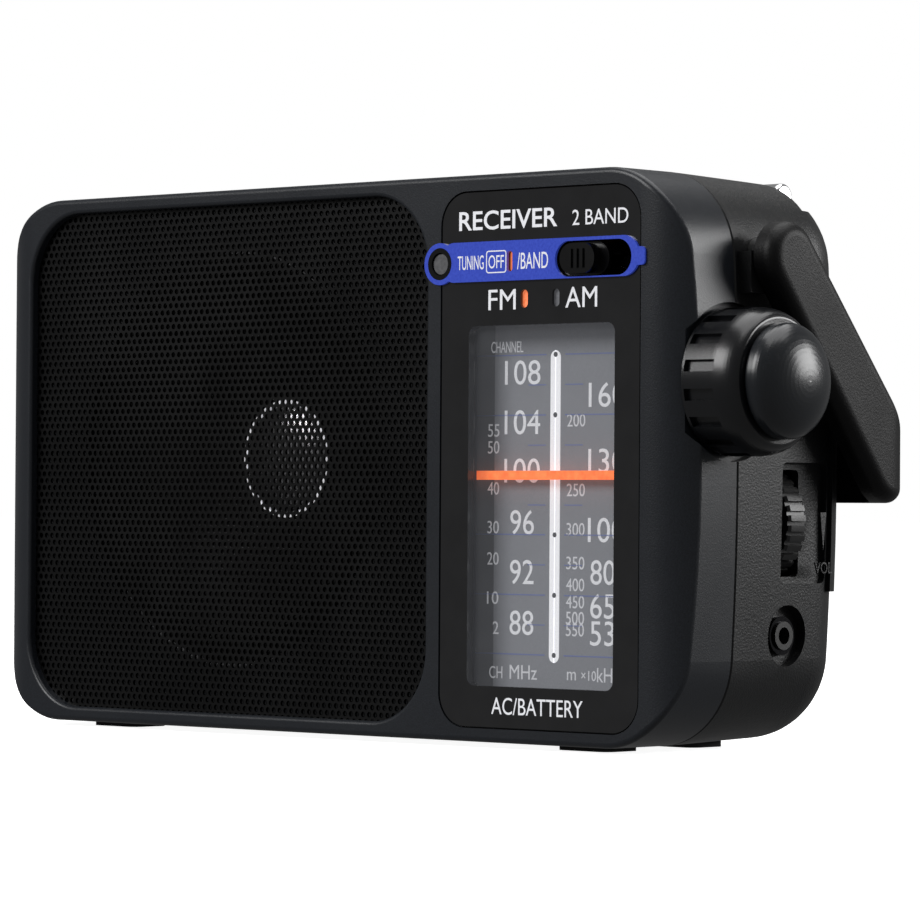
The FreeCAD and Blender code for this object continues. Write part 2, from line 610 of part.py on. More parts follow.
def tuning_led():
    """Tuning lamp, a round-nosed cylinder."""
    body = rod(LED_R, V(LED_X, 1.0, LED_Z), Y, 7.0)
    nose = Part.makeSphere(LED_R, V(LED_X, 1.0, LED_Z))
    return joined([body, nose.common(block(LED_X - 4, LED_X + 4, 0.0, 1.2, LED_Z - 4, LED_Z + 4))])


def light_box():
    """Black frame behind the panel that shades the scale and carries the pointer's rail."""
    y0, y1 = PANEL_SINK + PANEL_T + FLOOR_T, SCALE_Y
    x0, x1, z0, z1 = BOX
    frame = block(x0 - BOX_WALL, x1 + BOX_WALL, y0, y1, z0 - BOX_WALL, z1 + BOX_WALL)
    lugs = [block(CORD_X - 1.9, x0 - BOX_WALL, y0, RAIL_Y + 1.6, z - 1.0, z + 1.0)
            for z in (z0, z1)]
    frame = joined([frame] + lugs)
    slot = block(x0 - 3, x0 + 1, POINTER_Y[0] - 0.4, POINTER_Y[1] + 0.4,
                 POINTER_LOW - 2.4, POINTER_TOP + 2.4)
    rail = rod(RAIL_R, V(CORD_X, RAIL_Y, z0 - 3), Z, z1 - z0 + 6)
    return without(frame, [block(x0, x1, y0 - 1, y1 + 1, z0, z1), slot, rail])


def pointer_rail():
    """Steel rod that the pointer's carriage slides on."""
    return rod(RAIL_R, V(CORD_X, RAIL_Y, BOX[2] - 2.0), Z, BOX[3] - BOX[2] + 4.0)


def dial_scale():
    """Scale plate behind the window."""
    x0, x1, z0, z1 = BOX
    return block(x0 - BOX_WALL, x1 + BOX_WALL, SCALE_Y, SCALE_Y + SCALE_T, z0 - BOX_WALL, z1 + BOX_WALL)


def dial_pointer():
    """Pointer blade and its carriage, which grips the cord and rides on the rail."""
    y0, y1 = POINTER_Y
    half = POINTER_H / 2
    blade = block(CORD_X - 1.3, BOX[1] - SHUT_GAP, y0, y1, POINTER_Z - half, POINTER_Z + half)
    leg = block(CORD_X - 1.6, CORD_X + 1.6, y0, FRONT_RUN_Y + CLIP_PAST,
                POINTER_Z - 1.8, POINTER_Z + 1.8)
    return without(joined([blade, leg]),
                   [rod(RAIL_R + RUN_GAP, V(CORD_X, RAIL_Y, POINTER_Z - 5), Z, 10),
                    rod(CORD_R + SHUT_GAP, V(CORD_X, FRONT_RUN_Y, POINTER_Z - 5), Z, 10)])


# ---------------------------------------------------------------- tuning drive
def tuning_knob():
    """Knob skirt with sixteen grip notches and a rounded shoulder."""
    x0, x1, x2 = KNOB_BASE_X, KNOB_SHOULDER_X, KNOB_NECK_X
    neck_r = KNOB_CAP_R + 0.9
    shoulder = []
    for step in range(1, 13):
        turn = math.radians(90 * step / 12)
        shoulder.append((x1 + (x2 - x1) * math.sin(turn),
                         neck_r + (KNOB_R - neck_r) * math.cos(turn)))
    profile = [(x0, SHAFT_R), (x0, KNOB_R - 0.6), (x0 + 0.6, KNOB_R), (x1, KNOB_R)]
    profile += shoulder + [(x2, SHAFT_R)]
    knob = turned(profile, (KNOB_Y, KNOB_Z))
    notch = block(x0 + 1.2, x1 + 0.6, KNOB_Y + KNOB_R - NOTCH_DEPTH, KNOB_Y + KNOB_R + 2,
                  KNOB_Z - NOTCH_W / 2, KNOB_Z + NOTCH_W / 2)
    cuts = []
    for step in range(KNOB_NOTCHES):
        cut = notch.copy()
        cut.rotate(V(0, KNOB_Y, KNOB_Z), X, 360.0 * (step + 0.5) / KNOB_NOTCHES)
        cuts.append(cut)
    return knob.cut(Part.makeCompound(cuts))


def knob_cap():
    """Domed cap on the end of the knob."""
    x0, x2 = KNOB_NECK_X, KNOB_TIP_X
    r = KNOB_CAP_R
    dome_x = x0 + 2.2
    profile = [(x0, 0.0), (x0, r - 0.5), (x0 + 0.7, r), (dome_x, r)]
    for step in range(1, 17):
        turn = math.radians(90 * step / 16)
        profile.append((dome_x + (x2 - dome_x) * math.sin(turn), max(r * math.cos(turn), 0.0)))
    return turned(profile, (KNOB_Y, KNOB_Z))


def tuning_shaft():
    """Shaft from the knob to the plane of the dial cord."""
    end_x = CORD_X - 3.0
    shaft = rod(SHAFT_R, V(end_x, KNOB_Y, KNOB_Z), X, KNOB_NECK_X - end_x)
    waist = pipe(SHAFT_R + 1, SHAFT_CORD_R - CORD_R - SHUT_GAP,
                 V(CORD_X - DRUM_W / 2 - 0.3, KNOB_Y, KNOB_Z), X, DRUM_W + 1.8)
    return shaft.cut(waist)


def tuning_bushing():
    """Flanged sleeve in the side wall that the shaft turns in."""
    bore = SHAFT_R + RUN_GAP
    sleeve = pipe(BUSHING_R, bore, V(BUSHING_X, KNOB_Y, KNOB_Z), X, KNOB_BASE_X - 0.6 - BUSHING_X)
    flange_x = KNOB_BASE_X - 0.5 - RECESS_WALL - 1.2
    flange = pipe(BUSHING_R + 2.4, bore, V(flange_x, KNOB_Y, KNOB_Z), X, 1.2)
    return joined([sleeve, flange])


def wheel_with_groove(centre, cord_r, bore, width):
    """A grooved wheel in the cord's plane: rim, groove under the cord, bore."""
    y, z = centre
    rim = cord_r + RIM_PAST
    wheel = pipe(rim, bore, V(CORD_X - width / 2, y, z), X, width)
    groove = pipe(rim + 1, cord_r - CORD_R - SHUT_GAP, V(CORD_X - 0.9, y, z), X, 1.8)
    return wheel.cut(groove)


def gang_drum():
    """Large drum and the tuning capacitor's spindle that it is fixed to."""
    drum = wheel_with_groove((DRUM_Y, DRUM_Z), DRUM_CORD_R, SPINDLE_R, DRUM_W)
    out, hole_r = 0.54 * DRUM_CORD_R, 0.22 * DRUM_CORD_R
    holes = []
    for step in range(4):
        turn = math.radians(45 + 90 * step)
        middle = V(CORD_X - 5, DRUM_Y + out * math.cos(turn), DRUM_Z + out * math.sin(turn))
        holes.append(rod(hole_r, middle, X, 10))
    spindle = rod(SPINDLE_R, V(CORD_X - DRUM_W / 2, DRUM_Y, DRUM_Z), X, 10.0)
    return joined([without(drum, holes), spindle])


def tuning_capacitor():
    """Sealed variable capacitor on the back of the main board."""
    x0 = BOARD[0] + 0.6
    body = block(x0, x0 + 16.0, BOARD_BACK, DRUM_Y + GANG_HALF, DRUM_Z - GANG_HALF, DRUM_Z + GANG_HALF)
    return body.cut(rod(SPINDLE_R + RUN_GAP, V(CORD_X, DRUM_Y, DRUM_Z), X, 10.2))


def pulley(z):
    """Small idler for the dial cord."""
    return wheel_with_groove((PULLEY_Y, z), PULLEY_CORD_R, PULLEY_PIN_R + RUN_GAP, 2.6)


def drive_brackets():
    """Inner bearing plate of the shaft and the two pins that carry the idlers."""
    x0 = BOARD[0] + 1.0
    plate = block(x0, x0 + 1.6, KNOB_Y - 6, BOARD_Y, KNOB_Z - 6, KNOB_Z + 6)
    pins = [plate.cut(rod(SHAFT_R + RUN_GAP, V(x0 - 1, KNOB_Y, KNOB_Z), X, 4))]
    for z in (PULLEY_LOW_Z, PULLEY_TOP_Z):
        arm = block(BOARD[0] - 1.2, BOARD[0] + 0.4, PULLEY_Y - 2.2, BOARD_Y, z - 2.2, z + 2.2)
        pins.append(joined([arm, rod(PULLEY_PIN_R, V(CORD_X - 1.8, PULLEY_Y, z), X, 5.6)]))
    return Part.makeCompound(pins)


def tangent(a, ra, b, rb):
    """Ends of the outer line that touches two circles on their left, going from a to b."""
    ay, az = a
    by, bz = b
    gap = math.hypot(by - ay, bz - az)
    along = math.atan2(bz - az, by - ay)
    lean = along + math.acos((ra - rb) / gap)
    ny, nz = math.cos(lean), math.sin(lean)
    return (ay + ra * ny, az + ra * nz), (by + rb * ny, bz + rb * nz)


def dial_cord():
    """Closed loop of cord round the low idler, the drum and the high idler."""
    stops = [((PULLEY_Y, PULLEY_LOW_Z), PULLEY_CORD_R), ((PULLEY_Y, PULLEY_TOP_Z), PULLEY_CORD_R),
             ((DRUM_Y, DRUM_Z), DRUM_CORD_R)]
    runs = [tangent(*stops[i], *stops[(i + 1) % 3]) for i in range(3)]
    edges = []
    for i in range(3):
        start, end = runs[i]
        edges.append(line(V(CORD_X, *start), V(CORD_X, *end)))
        (cy, cz), r = stops[(i + 1) % 3]
        after = runs[(i + 1) % 3][0]
        mid = ((end[0] + after[0]) / 2 - cy, (end[1] + after[1]) / 2 - cz)
        size = math.hypot(*mid)
        peak = (cy + mid[0] / size * r, cz + mid[1] / size * r)
        edges.append(arc(V(CORD_X, *end), V(CORD_X, *peak), V(CORD_X, *after)))
    path = Part.Wire(edges)
    start = runs[0][0]
    section = Part.Wire(Part.makeCircle(CORD_R, V(CORD_X, *start), Z))
    loop = path.makePipeShell([section], True, False)
    turns = Part.makeTorus(SHAFT_CORD_R, CORD_R, V(CORD_X + DRUM_W / 2 + 0.7, KNOB_Y, KNOB_Z), X)
    return joined([loop, turns])


# ---------------------------------------------------------------- band slider
def band_slider():
    """Slider in the slot, with its grip nub, the stem and the lever that moves the switch."""
    half = (SLOT[3] - SLOT[2]) / 2 - SHUT_GAP
    base = slab((SLIDER_X, SLIDER_X + SLIDER_L, SLIDER_Z - half, SLIDER_Z + half), half - 0.1, 0.9, 2.1)
    nub_x = STEM_X - NUB_L / 2
    nub = slab((nub_x, nub_x + NUB_L, SLIDER_Z - half + 0.3, SLIDER_Z + half - 0.3), half - 0.4,
               -NUB_PROUD, 0.9)
    stem = bar_behind(STEM_W, 2.1, 11.0)
    lever = bar_behind(LEVER_W, 11.0, 16.0)
    ribs = [block(STEM_X + s * 1.6 - 0.3, STEM_X + s * 1.6 + 0.3, -NUB_PROUD - NUB_RIB, -NUB_PROUD,
                  SLIDER_Z - 2.0, SLIDER_Z + 2.0) for s in (-1, 0, 1)]
    return joined([base, nub, stem, lever] + ribs)


def bar_behind(width, y0, y1, travel=0.0, gap=0.0):
    """Square bar on the slider's middle from y0 to y1, with room for travel and a gap."""
    half = width / 2 + gap
    return block(STEM_X - half, STEM_X + half + travel, y0, y1, SLIDER_Z - half, SLIDER_Z + half)


def band_flag():
    """Plate with two raised pads behind the lamp windows, for their coloured patches."""
    y0, y1 = FLAG_Y
    plate = block(FLAG_X0, STEM_X + 3, y0, y1, LAMP_Z - 2.6, BAR_Z[1] - 1.2)
    pads = [block(x0, x1, FLAG_PAD_Y, y0, z0, z1) for x0, x1, z0, z1 in FLAG_PADS]
    return joined([plate] + pads).cut(bar_behind(STEM_W, 0, 9))


def band_switch():
    """Slide switch on the front of the main board."""
    x1 = min(STEM_X + 9 + SLIDE_TRAVEL, BOARD[1])
    body = block(STEM_X - 9, x1, 13.0, BOARD_Y, SLIDER_Z - 4, SLIDER_Z + 4)
    return body.cut(bar_behind(LEVER_W, 12, 17, SLIDE_TRAVEL, SHUT_GAP))


# ---------------------------------------------------------------- volume and jack
def volume_wheel():
    """Ribbed thumb wheel and the spindle that turns in the volume control."""
    y0, y1 = WHEEL_Y
    wheel = rod(WHEEL_R, V(WHEEL_X, y0, WHEEL_Z), Y, y1 - y0)
    wheel = wheel.makeChamfer(0.5, [e for e in wheel.Edges if abs(e.BoundBox.YLength) < 1e-6])
    groove = block(WHEEL_X + WHEEL_R - 0.8, WHEEL_X + WHEEL_R + 1, y0 - 1, y1 + 1,
                   WHEEL_Z - 0.45, WHEEL_Z + 0.45)
    cuts = []
    for step in range(WHEEL_RIBS):
        cut = groove.copy()
        cut.rotate(V(WHEEL_X, 0, WHEEL_Z), Y, 360.0 * step / WHEEL_RIBS)
        cuts.append(cut)
    spindle = rod(POT_SHAFT_R, V(WHEEL_X, y0 - 4.0, WHEEL_Z), Y, 5.0)
    return joined([wheel.cut(Part.makeCompound(cuts)), spindle])


def volume_control():
    """Rotary volume control standing on the main board."""
    y1 = WHEEL_Y[0] - 0.6
    can = rod(POT_R, V(WHEEL_X, y1 - 4.6, WHEEL_Z), Y, 4.6)
    foot = block(BOARD[1] - 6, WHEEL_X - POT_R / 2, BOARD_BACK, y1 - 1.0, WHEEL_Z - 3, WHEEL_Z + 3)
    return joined([can, foot]).cut(rod(POT_SHAFT_R + RUN_GAP, V(WHEEL_X, 20, WHEEL_Z), Y, 30))


def earphone_jack():
    """Jack body inside the case with its threaded nose and bore."""
    body = block(JACK_FLOOR_X - 1.6 - 12.0, JACK_FLOOR_X - 1.6, JACK_Y - 6, JACK_Y + 6,
                 JACK_Z - 5, JACK_Z + 5)
    nose = rod(JACK_NOSE_R, V(JACK_FLOOR_X - 2, JACK_Y, JACK_Z), X, 3.8)
    return joined([body, nose]).cut(rod(JACK_BORE_R, V(JACK_MOUTH_X - JACK_DEEP, JACK_Y, JACK_Z), X, JACK_DEEP + 2))


def jack_nut():
    """Plated ring nut on the jack's nose."""
    return pipe(JACK_NOSE_R + 1.1, JACK_NOSE_R, V(JACK_FLOOR_X, JACK_Y, JACK_Z), X, 1.2)


# ---------------------------------------------------------------- speaker
def disc_profile(points):
    """A closed loop of (y, radius) points turned about the speaker's axis."""
    loop = [V(SPK_X + r, y, SPK_Z) for y, r in points]
    return Part.Face(Part.makePolygon(loop + loop[:1])).revolve(V(SPK_X, 0, SPK_Z), Y, 360)


def speaker_frame():
    """Pressed steel basket with four windows."""
    y, back, t = SPK_FRONT_Y, BASKET_BACK_Y, BASKET_T
    neck = COIL_R + 9.25
    points = [(y, CONE_R + 4.5), (y, SPK_R), (y + t, SPK_R), (y + t, CONE_R + 5.7),
              (y + 8, CONE_R + 4.0), (back, neck), (back, COIL_R + t),
              (back - t, COIL_R + t), (back - t, neck - 1.0), (y + 7.5, CONE_R + 2.8),
              (y + 2.4, CONE_R + 4.5)]
    windows = []
    for step in range(4):
        hole = block(SPK_X + neck + 4, SPK_X + CONE_R - 5, y + 9, back - 2, SPK_Z - 11, SPK_Z + 11)
        hole.rotate(V(SPK_X, 0, SPK_Z), Y, 45 + 90 * step)
        windows.append(hole)
    return without(disc_profile(points), windows)


def speaker_surround():
    """Soft ring between the basket's rim and the cone."""
    y = SPK_FRONT_Y
    inner = CONE_R + SHUT_GAP + 0.1
    return disc_profile([(y - 0.8, inner), (y - 1.1, inner + 2.2), (y - 0.8, CONE_R + 5.0),
                         (y, CONE_R + 5.0), (y, inner)])


def speaker_cone():
    """Paper cone."""
    y = CONE_FRONT_Y
    return disc_profile([(y, CONE_R), (y + CONE_DEEP, COIL_R), (y + CONE_DEEP + CONE_T, COIL_R),
                         (y + CONE_T, CONE_R)])


def dust_cap():
    """Domed metal cap over the voice coil."""
    y = CONE_FRONT_Y + CONE_DEEP
    points = []
    for step in range(0, 9):
        turn = math.radians(90 * step / 8)
        points.append((y - 3.2 * math.cos(turn) + 0.2, COIL_R * math.sin(turn)))
    inner = [(py + 0.5, pr) for py, pr in reversed(points)]
    return disc_profile(points + inner)


def voice_coil():
    """Former and winding of the voice coil, in the magnet's gap."""
    y = SPK_FRONT_Y + CONE_DEEP
    return pipe(COIL_R - 0.1, COIL_R - 0.8, V(SPK_X, y, SPK_Z), Y, BASKET_BACK_Y - y + 5.0)


def speaker_magnet():
    """Ring magnet between its two plates, with the pole in the middle."""
    front, back = BASKET_BACK_Y, SPK_FRONT_Y + SPK_DEPTH
    gap = pipe(COIL_R + COIL_GAP, COIL_R - 0.9 - COIL_GAP, V(SPK_X, front - 6, SPK_Z), Y, 12.5)
    ring = rod(MAGNET_R, V(SPK_X, front + PLATE_T, SPK_Z), Y, back - front - 2 * PLATE_T)
    plates = [rod(PLATE_R, V(SPK_X, front, SPK_Z), Y, PLATE_T),
              rod(PLATE_R, V(SPK_X, back - PLATE_T, SPK_Z), Y, PLATE_T)]
    return joined([ring] + plates).cut(gap)


# ---------------------------------------------------------------- board
def main_board():
    """Circuit board behind the dial."""
    x0, x1, z0, z1 = BOARD
    return block(x0, x1, BOARD_Y, BOARD_BACK, z0, z1)


def coil_cans():
    """Screening cans of the tuned coils, in two rows beside the capacitor."""
    half = 3.6
    cans = []
    for x in (BOARD[0] + 22.4, BOARD[0] + 31.4):
        for row in range(4):
            z = BOARD[3] - 52.0 + 10.0 * row
            can = block(x - half, x + half, BOARD_BACK, BOARD_BACK + 9.5, z - half, z + half)
            cans.append(can.cut(rod(1.6, V(x, BOARD_BACK + 8, z), Y, 3)))
    return Part.makeCompound(cans)


def chips():
    """Integrated circuits."""
    x, y0, y1 = BOARD[0], BOARD_BACK, BOARD_BACK + 3.2
    return Part.makeCompound([block(x + 4.4, x + 14.4, y0, y1, BOARD[3] - 61, BOARD[3] - 39),
                              block(x + 22.4, x + 32.4, y0, y1, BOARD[3] - 72, BOARD[3] - 58)])


def smoothing_capacitors():
    """Round capacitors on the board, kept clear of the battery tray."""
    tall = 0.85 * (BAY_Y - BAY_WALL - BOARD_BACK)
    x = BOARD[0]
    places = ((x + 10.4, 24, 5.0, tall), (x + 24.4, 24, 5.0, tall), (x + 36.4, 30, 3.2, 0.75 * tall),
              (x + 10.4, 35, 3.2, 0.65 * tall), (x + 38.4, BOARD[3] - 11, 3.2, 9.0),
              (x + 20.6, BOARD[3] - 6, 2.6, 8.0))
    return Part.makeCompound([rod(r, V(cx, BOARD_BACK, cz), Y, h) for cx, cz, r, h in places])


def ferrite_rod():
    """Medium-wave antenna rod along the top of the case."""
    return rod(FERRITE_R, V(FERRITE_X, FERRITE_Y, FERRITE_Z), X, FERRITE_L)


def rod_coil():
    """Winding on the ferrite rod."""
    return pipe(FERRITE_R + 1.1, FERRITE_R, V(FERRITE_X + 22, FERRITE_Y, FERRITE_Z), X, 26)


def rod_holders():
    """Two clips that hold the ferrite rod, hanging from the case's top."""
    clips = []
    for x in (FERRITE_X + 6.0, FERRITE_X + FERRITE_L - 6.0):
        clip = block(x - 2.5, x + 2.5, FERRITE_Y - 6.5, FERRITE_Y + 6.5, FERRITE_Z - 7.0, FERRITE_Z + 6.7)
        clips.append(clip.cut(rod(FERRITE_R, V(x - 5, FERRITE_Y, FERRITE_Z), X, 10)))
    return Part.makeCompound(clips)


# ---------------------------------------------------------------- power
def core_windows(length):
    """The two openings of the transformer's core that its winding fills."""
    x0, x1, y0, y1, z0, z1 = CORE
    mid_y = (y0 + y1) / 2
    return [block(x0 - length, x1 + length, mid_y - CORE_LEG / 2, mid_y + CORE_LEG / 2, z0 + a, z0 + a + 5.0)
            for a in (4.5, 18.5)]


def power_transformer():
    """Laminated core of the mains transformer."""
    return without(block(*CORE), core_windows(1.0))


def transformer_winding():
    """Winding round the transformer's middle leg, standing out of the core on both sides."""
    x0, x1, y0, y1, z0, z1 = CORE
    inner = block(x0 + 2, x1 - 2, 0, CASE_DEPTH, z0, z1)
    fill = [w.common(inner) for w in core_windows(0.0)]
    ends = [block(x0 + 2, x1 - 2, y1, y1 + WINDING_PROUD, z0 + 7, z0 + 21),
            block(x0 + 2, x1 - 2, y0 - WINDING_PROUD, y0, z0 + 7, z0 + 21)]
    return Part.makeCompound(fill + ends)


def mains_inlet():
    """Two-pin mains inlet in the left side."""
    x0 = INLET_X
    w, h = INLET_W / 2, INLET_H / 2
    body = block(x0, x0 + INLET_L, INLET_Y - w, INLET_Y + w, INLET_Z - h, INLET_Z + h)
    hw, hh = INLET_HOLE_W / 2, INLET_HOLE_H / 2
    hole = block(x0 - 1, x0 + INLET_L - 2.5, INLET_Y - hw, INLET_Y + hw, INLET_Z - hh, INLET_Z + hh)
    edges = [e for e in hole.Edges if e.BoundBox.XLength > 1]
    return without(body, [hole.makeFillet(hh - 0.3, edges)] + inlet_pins().Solids)


def inlet_pins():
    """The inlet's two round contacts."""
    half = INLET_PIN_PITCH / 2
    return Part.makeCompound([rod(INLET_PIN_R, V(INLET_X + 5, y, INLET_Z), X, INLET_PIN_L)
                              for y in (INLET_Y - half, INLET_Y + half)])


def battery_box():
    """Tray for two rows of cells, open to the back, with a rim against the rear cabinet."""
    x0, x1, z0, z1 = BAY
    rim_y = CASE_DEPTH - WALL
    t = BAY_WALL
    tray = block(x0 - t, x1 + t, BAY_Y - t, rim_y, z0 - t, z1 + t)
    rim = block(x0 - 4, x1 + 4, rim_y - 1.5, rim_y, z0 - 3.5, z1 + 3.5)
    rib = block(x0, x1, BAY_Y - t, BAY_Y + 3.0, (z0 + z1) / 2 - 0.6, (z0 + z1) / 2 + 0.6)
    hollow = block(x0, x1, BAY_Y, rim_y + 1, z0, z1)
    return joined([joined([tray, rim]).cut(hollow), rib])


def battery_contacts():
    """Plates at both ends of the bay, two of them with coil springs."""
    plates = []
    for side, z in ((-1, CELL_Z[0]), (1, CELL_Z[1])):
        start = V(side * (BAY[1] - 0.8), BAY_Y + CELL_R, z)
        helix = Part.makeHelix(1.5, 6.0, 3.6)
        helix.rotate(V(0, 0, 0), Y, -90 * side)
        helix.translate(start)
        first = helix.Edges[0]
        here = first.valueAt(first.FirstParameter)
        way = first.tangentAt(first.FirstParameter)
        section = Part.Wire(Part.makeCircle(0.35, here, way))
        plates.append(Part.Wire(helix.Edges).makePipeShell([section], True, True))
    for side in (-1, 1):
        face = side * BAY[1]
        x0, x1 = min(face, face - side * 0.4), max(face, face - side * 0.4)
        for z in CELL_Z:
            plates.append(block(x0, x1, BAY_Y + CELL_R - 5.6, BAY_Y + CELL_R + 5.4, z - 5.6, z + 5.6))
    return Part.makeCompound(plates)


def battery_door():
    """Door on the back that swings on two pins along its lower edge."""
    x0, x1, z0, z1 = door_area()
    r = DOOR_T / 2
    pin_y, pin_z = CASE_DEPTH - r, z0 + r
    door = block(x0, x1, CASE_DEPTH - DOOR_T, CASE_DEPTH, pin_z, z1)
    barrel = rod(r, V(x0, pin_y, pin_z), X, x1 - x0)
    pins = rod(DOOR_PIN_R, V(x0 - 1.6, pin_y, pin_z), X, x1 - x0 + 3.2)
    grip = rod(9.0, V(0, CASE_DEPTH + 7.6, z1 - 4.5), Z, 6)
    ribs = [block(-12, 12, CASE_DEPTH, CASE_DEPTH + 0.5, z1 - 8.5 - 2 * k, z1 - 7.7 - 2 * k)
            for k in range(4)]
    return joined([door, barrel, pins] + ribs).cut(grip)


# ---------------------------------------------------------------- handle
def hull_of_circles(a, ra, b, rb, x, width):
    """Straight-sided shape round two circles, in the plane x, carried along X."""
    first, second = tangent(a, ra, b, rb)
    far, near = tangent(b, rb, a, ra)
    span = math.hypot(b[0] - a[0], b[1] - a[1])
    ey, ez = (b[0] - a[0]) / span, (b[1] - a[1]) / span
    edges = [line(V(x, *first), V(x, *second)),
             arc(V(x, *second), V(x, b[0] + rb * ey, b[1] + rb * ez), V(x, *far)),
             line(V(x, *far), V(x, *near)),
             arc(V(x, *near), V(x, a[0] - ra * ey, a[1] - ra * ez), V(x, *first))]
    return prism(edges, V(width, 0, 0))


def bow(half, back, radius):
    """Tall block between x = -half and half with its two back edges rounded."""
    solid = block(-half, half, -CASE_DEPTH, back, 0, 2 * CASE_TOP)
    edges = [e for e in solid.Edges if e.BoundBox.YMin > back - 0.01 and e.BoundBox.ZLength > 100]
    return solid.makeFillet(radius, edges)


def handle():
    """Carrying handle: two flat arms and a grip that lies behind the case."""
    side = hull_of_circles((PIVOT_Y, PIVOT_Z), ARM_R, (GRIP_Y, GRIP_Z), GRIP_R, -ARM_X1 - 1, 2 * ARM_X1 + 2)
    outer = bow(ARM_X1, GRIP_BACK_Y, GRIP_OUT_R)
    inner = bow(ARM_X0, GRIP_Y - 0.1, GRIP_IN_R)
    bar = side.common(outer.cut(inner))
    skin = [e for e in bar.Edges if e.BoundBox.XMin > ARM_X1 - 0.01 or e.BoundBox.XMax < 0.01 - ARM_X1]
    skin += [e for e in bar.Edges if e.BoundBox.YMax > GRIP_BACK_Y - 0.9 and e.BoundBox.XLength > 0.01]
    bar = bar.makeFillet(HANDLE_EDGE, skin)
    end_x = ARM_X1 - PIVOT_SKIN
    return bar.cut(rod(PIVOT_R + RUN_GAP, V(-end_x, PIVOT_Y, PIVOT_Z), X, 2 * end_x))


def handle_pivots():
    """Two headless pins pressed into the case, on which the handle turns."""
    pins = []
    length = ARM_X1 - PIVOT_SKIN - SHUT_GAP - PIVOT_PIN_X
    for x0 in (PIVOT_PIN_X, -PIVOT_PIN_X - length):
        pins.append(rod(PIVOT_R, V(x0, PIVOT_Y, PIVOT_Z), X, length))
    return Part.makeCompound(pins)


# ---------------------------------------------------------------- antenna
def antenna_base():
    """Turntable and fork with its rivet, turning on a stem in the case."""
    z0 = REBATE_Z + SHUT_GAP
    table = rod(KNUCKLE_R, V(ROD_PIVOT_X, ROD_Y, z0), Z, TABLE_T)
    stem = rod(STEM_R - RUN_GAP, V(ROD_PIVOT_X, ROD_Y, z0 - 4.2), Z, 4.2)
    half, slot = FORK_HALF, TONGUE_HALF + SHUT_GAP
    ears = block(ROD_PIVOT_X - 3.0, ROD_PIVOT_X + 3.0, ROD_Y - half, ROD_Y + half, z0 + 0.3, ROD_Z)
    crown = rod(3.0, V(ROD_PIVOT_X, ROD_Y - half, ROD_Z), Y, 2 * half)
    fork = joined([ears, crown]).common(rod(KNUCKLE_R, V(ROD_PIVOT_X, ROD_Y, z0), Z, 20))
    gap = block(ROD_PIVOT_X - 6, ROD_PIVOT_X + 6, ROD_Y - slot, ROD_Y + slot, z0 + TABLE_T, ROD_Z + 6)
    bore = rod(RIVET_R, V(ROD_PIVOT_X, ROD_Y - 6, ROD_Z), Y, 12)
    rivet = rod(RIVET_R, V(ROD_PIVOT_X, ROD_Y - half - 0.2, ROD_Z), Y, 2 * half + 0.4)
    return Part.makeCompound([without(joined([table, stem, fork]), [gap, bore]), rivet])


def antenna_elbow():
    """Flat tongue that turns in the fork and carries the rod."""
    eye = rod(EYE_R, V(ROD_PIVOT_X, ROD_Y - TONGUE_HALF, ROD_Z), Y, 2 * TONGUE_HALF)
    neck = block(ROD_PIVOT_X, ROD_START_X, ROD_Y - TONGUE_HALF, ROD_Y + TONGUE_HALF,
                 ROD_Z - 2.0, ROD_Z + 2.0)
    plug = rod(SECTIONS[0][1], V(ROD_START_X - 1.5, ROD_Y, ROD_Z), X, 5.5)
    bore = rod(RIVET_R + RUN_GAP, V(ROD_PIVOT_X, ROD_Y - 6, ROD_Z), Y, 12)
    return joined([eye, neck, plug]).cut(bore)


def antenna_section(number):
    """One tube of the rod; the last is a solid wire."""
    outer, inner = SECTIONS[number]
    start = ROD_START_X + (0 if number == 0 else 4.5)
    end = ROD_START_X + ROD_L + number * SECTION_STEP
    at = V(start, ROD_Y, ROD_Z)
    if inner == 0:
        return rod(outer, at, X, end - start)
    return pipe(outer, inner, at, X, end - start)


def antenna_tip():
    """Button on the end of the rod."""
    x0 = ROD_START_X + ROD_L + (len(SECTIONS) - 1) * SECTION_STEP
    tip = rod(SECTIONS[0][0], V(x0, ROD_Y, ROD_Z), X, TIP_L)
    ends = [e for e in tip.Edges if e.BoundBox.XLength < 1e-6]
    return tip.makeFillet(0.9, ends)


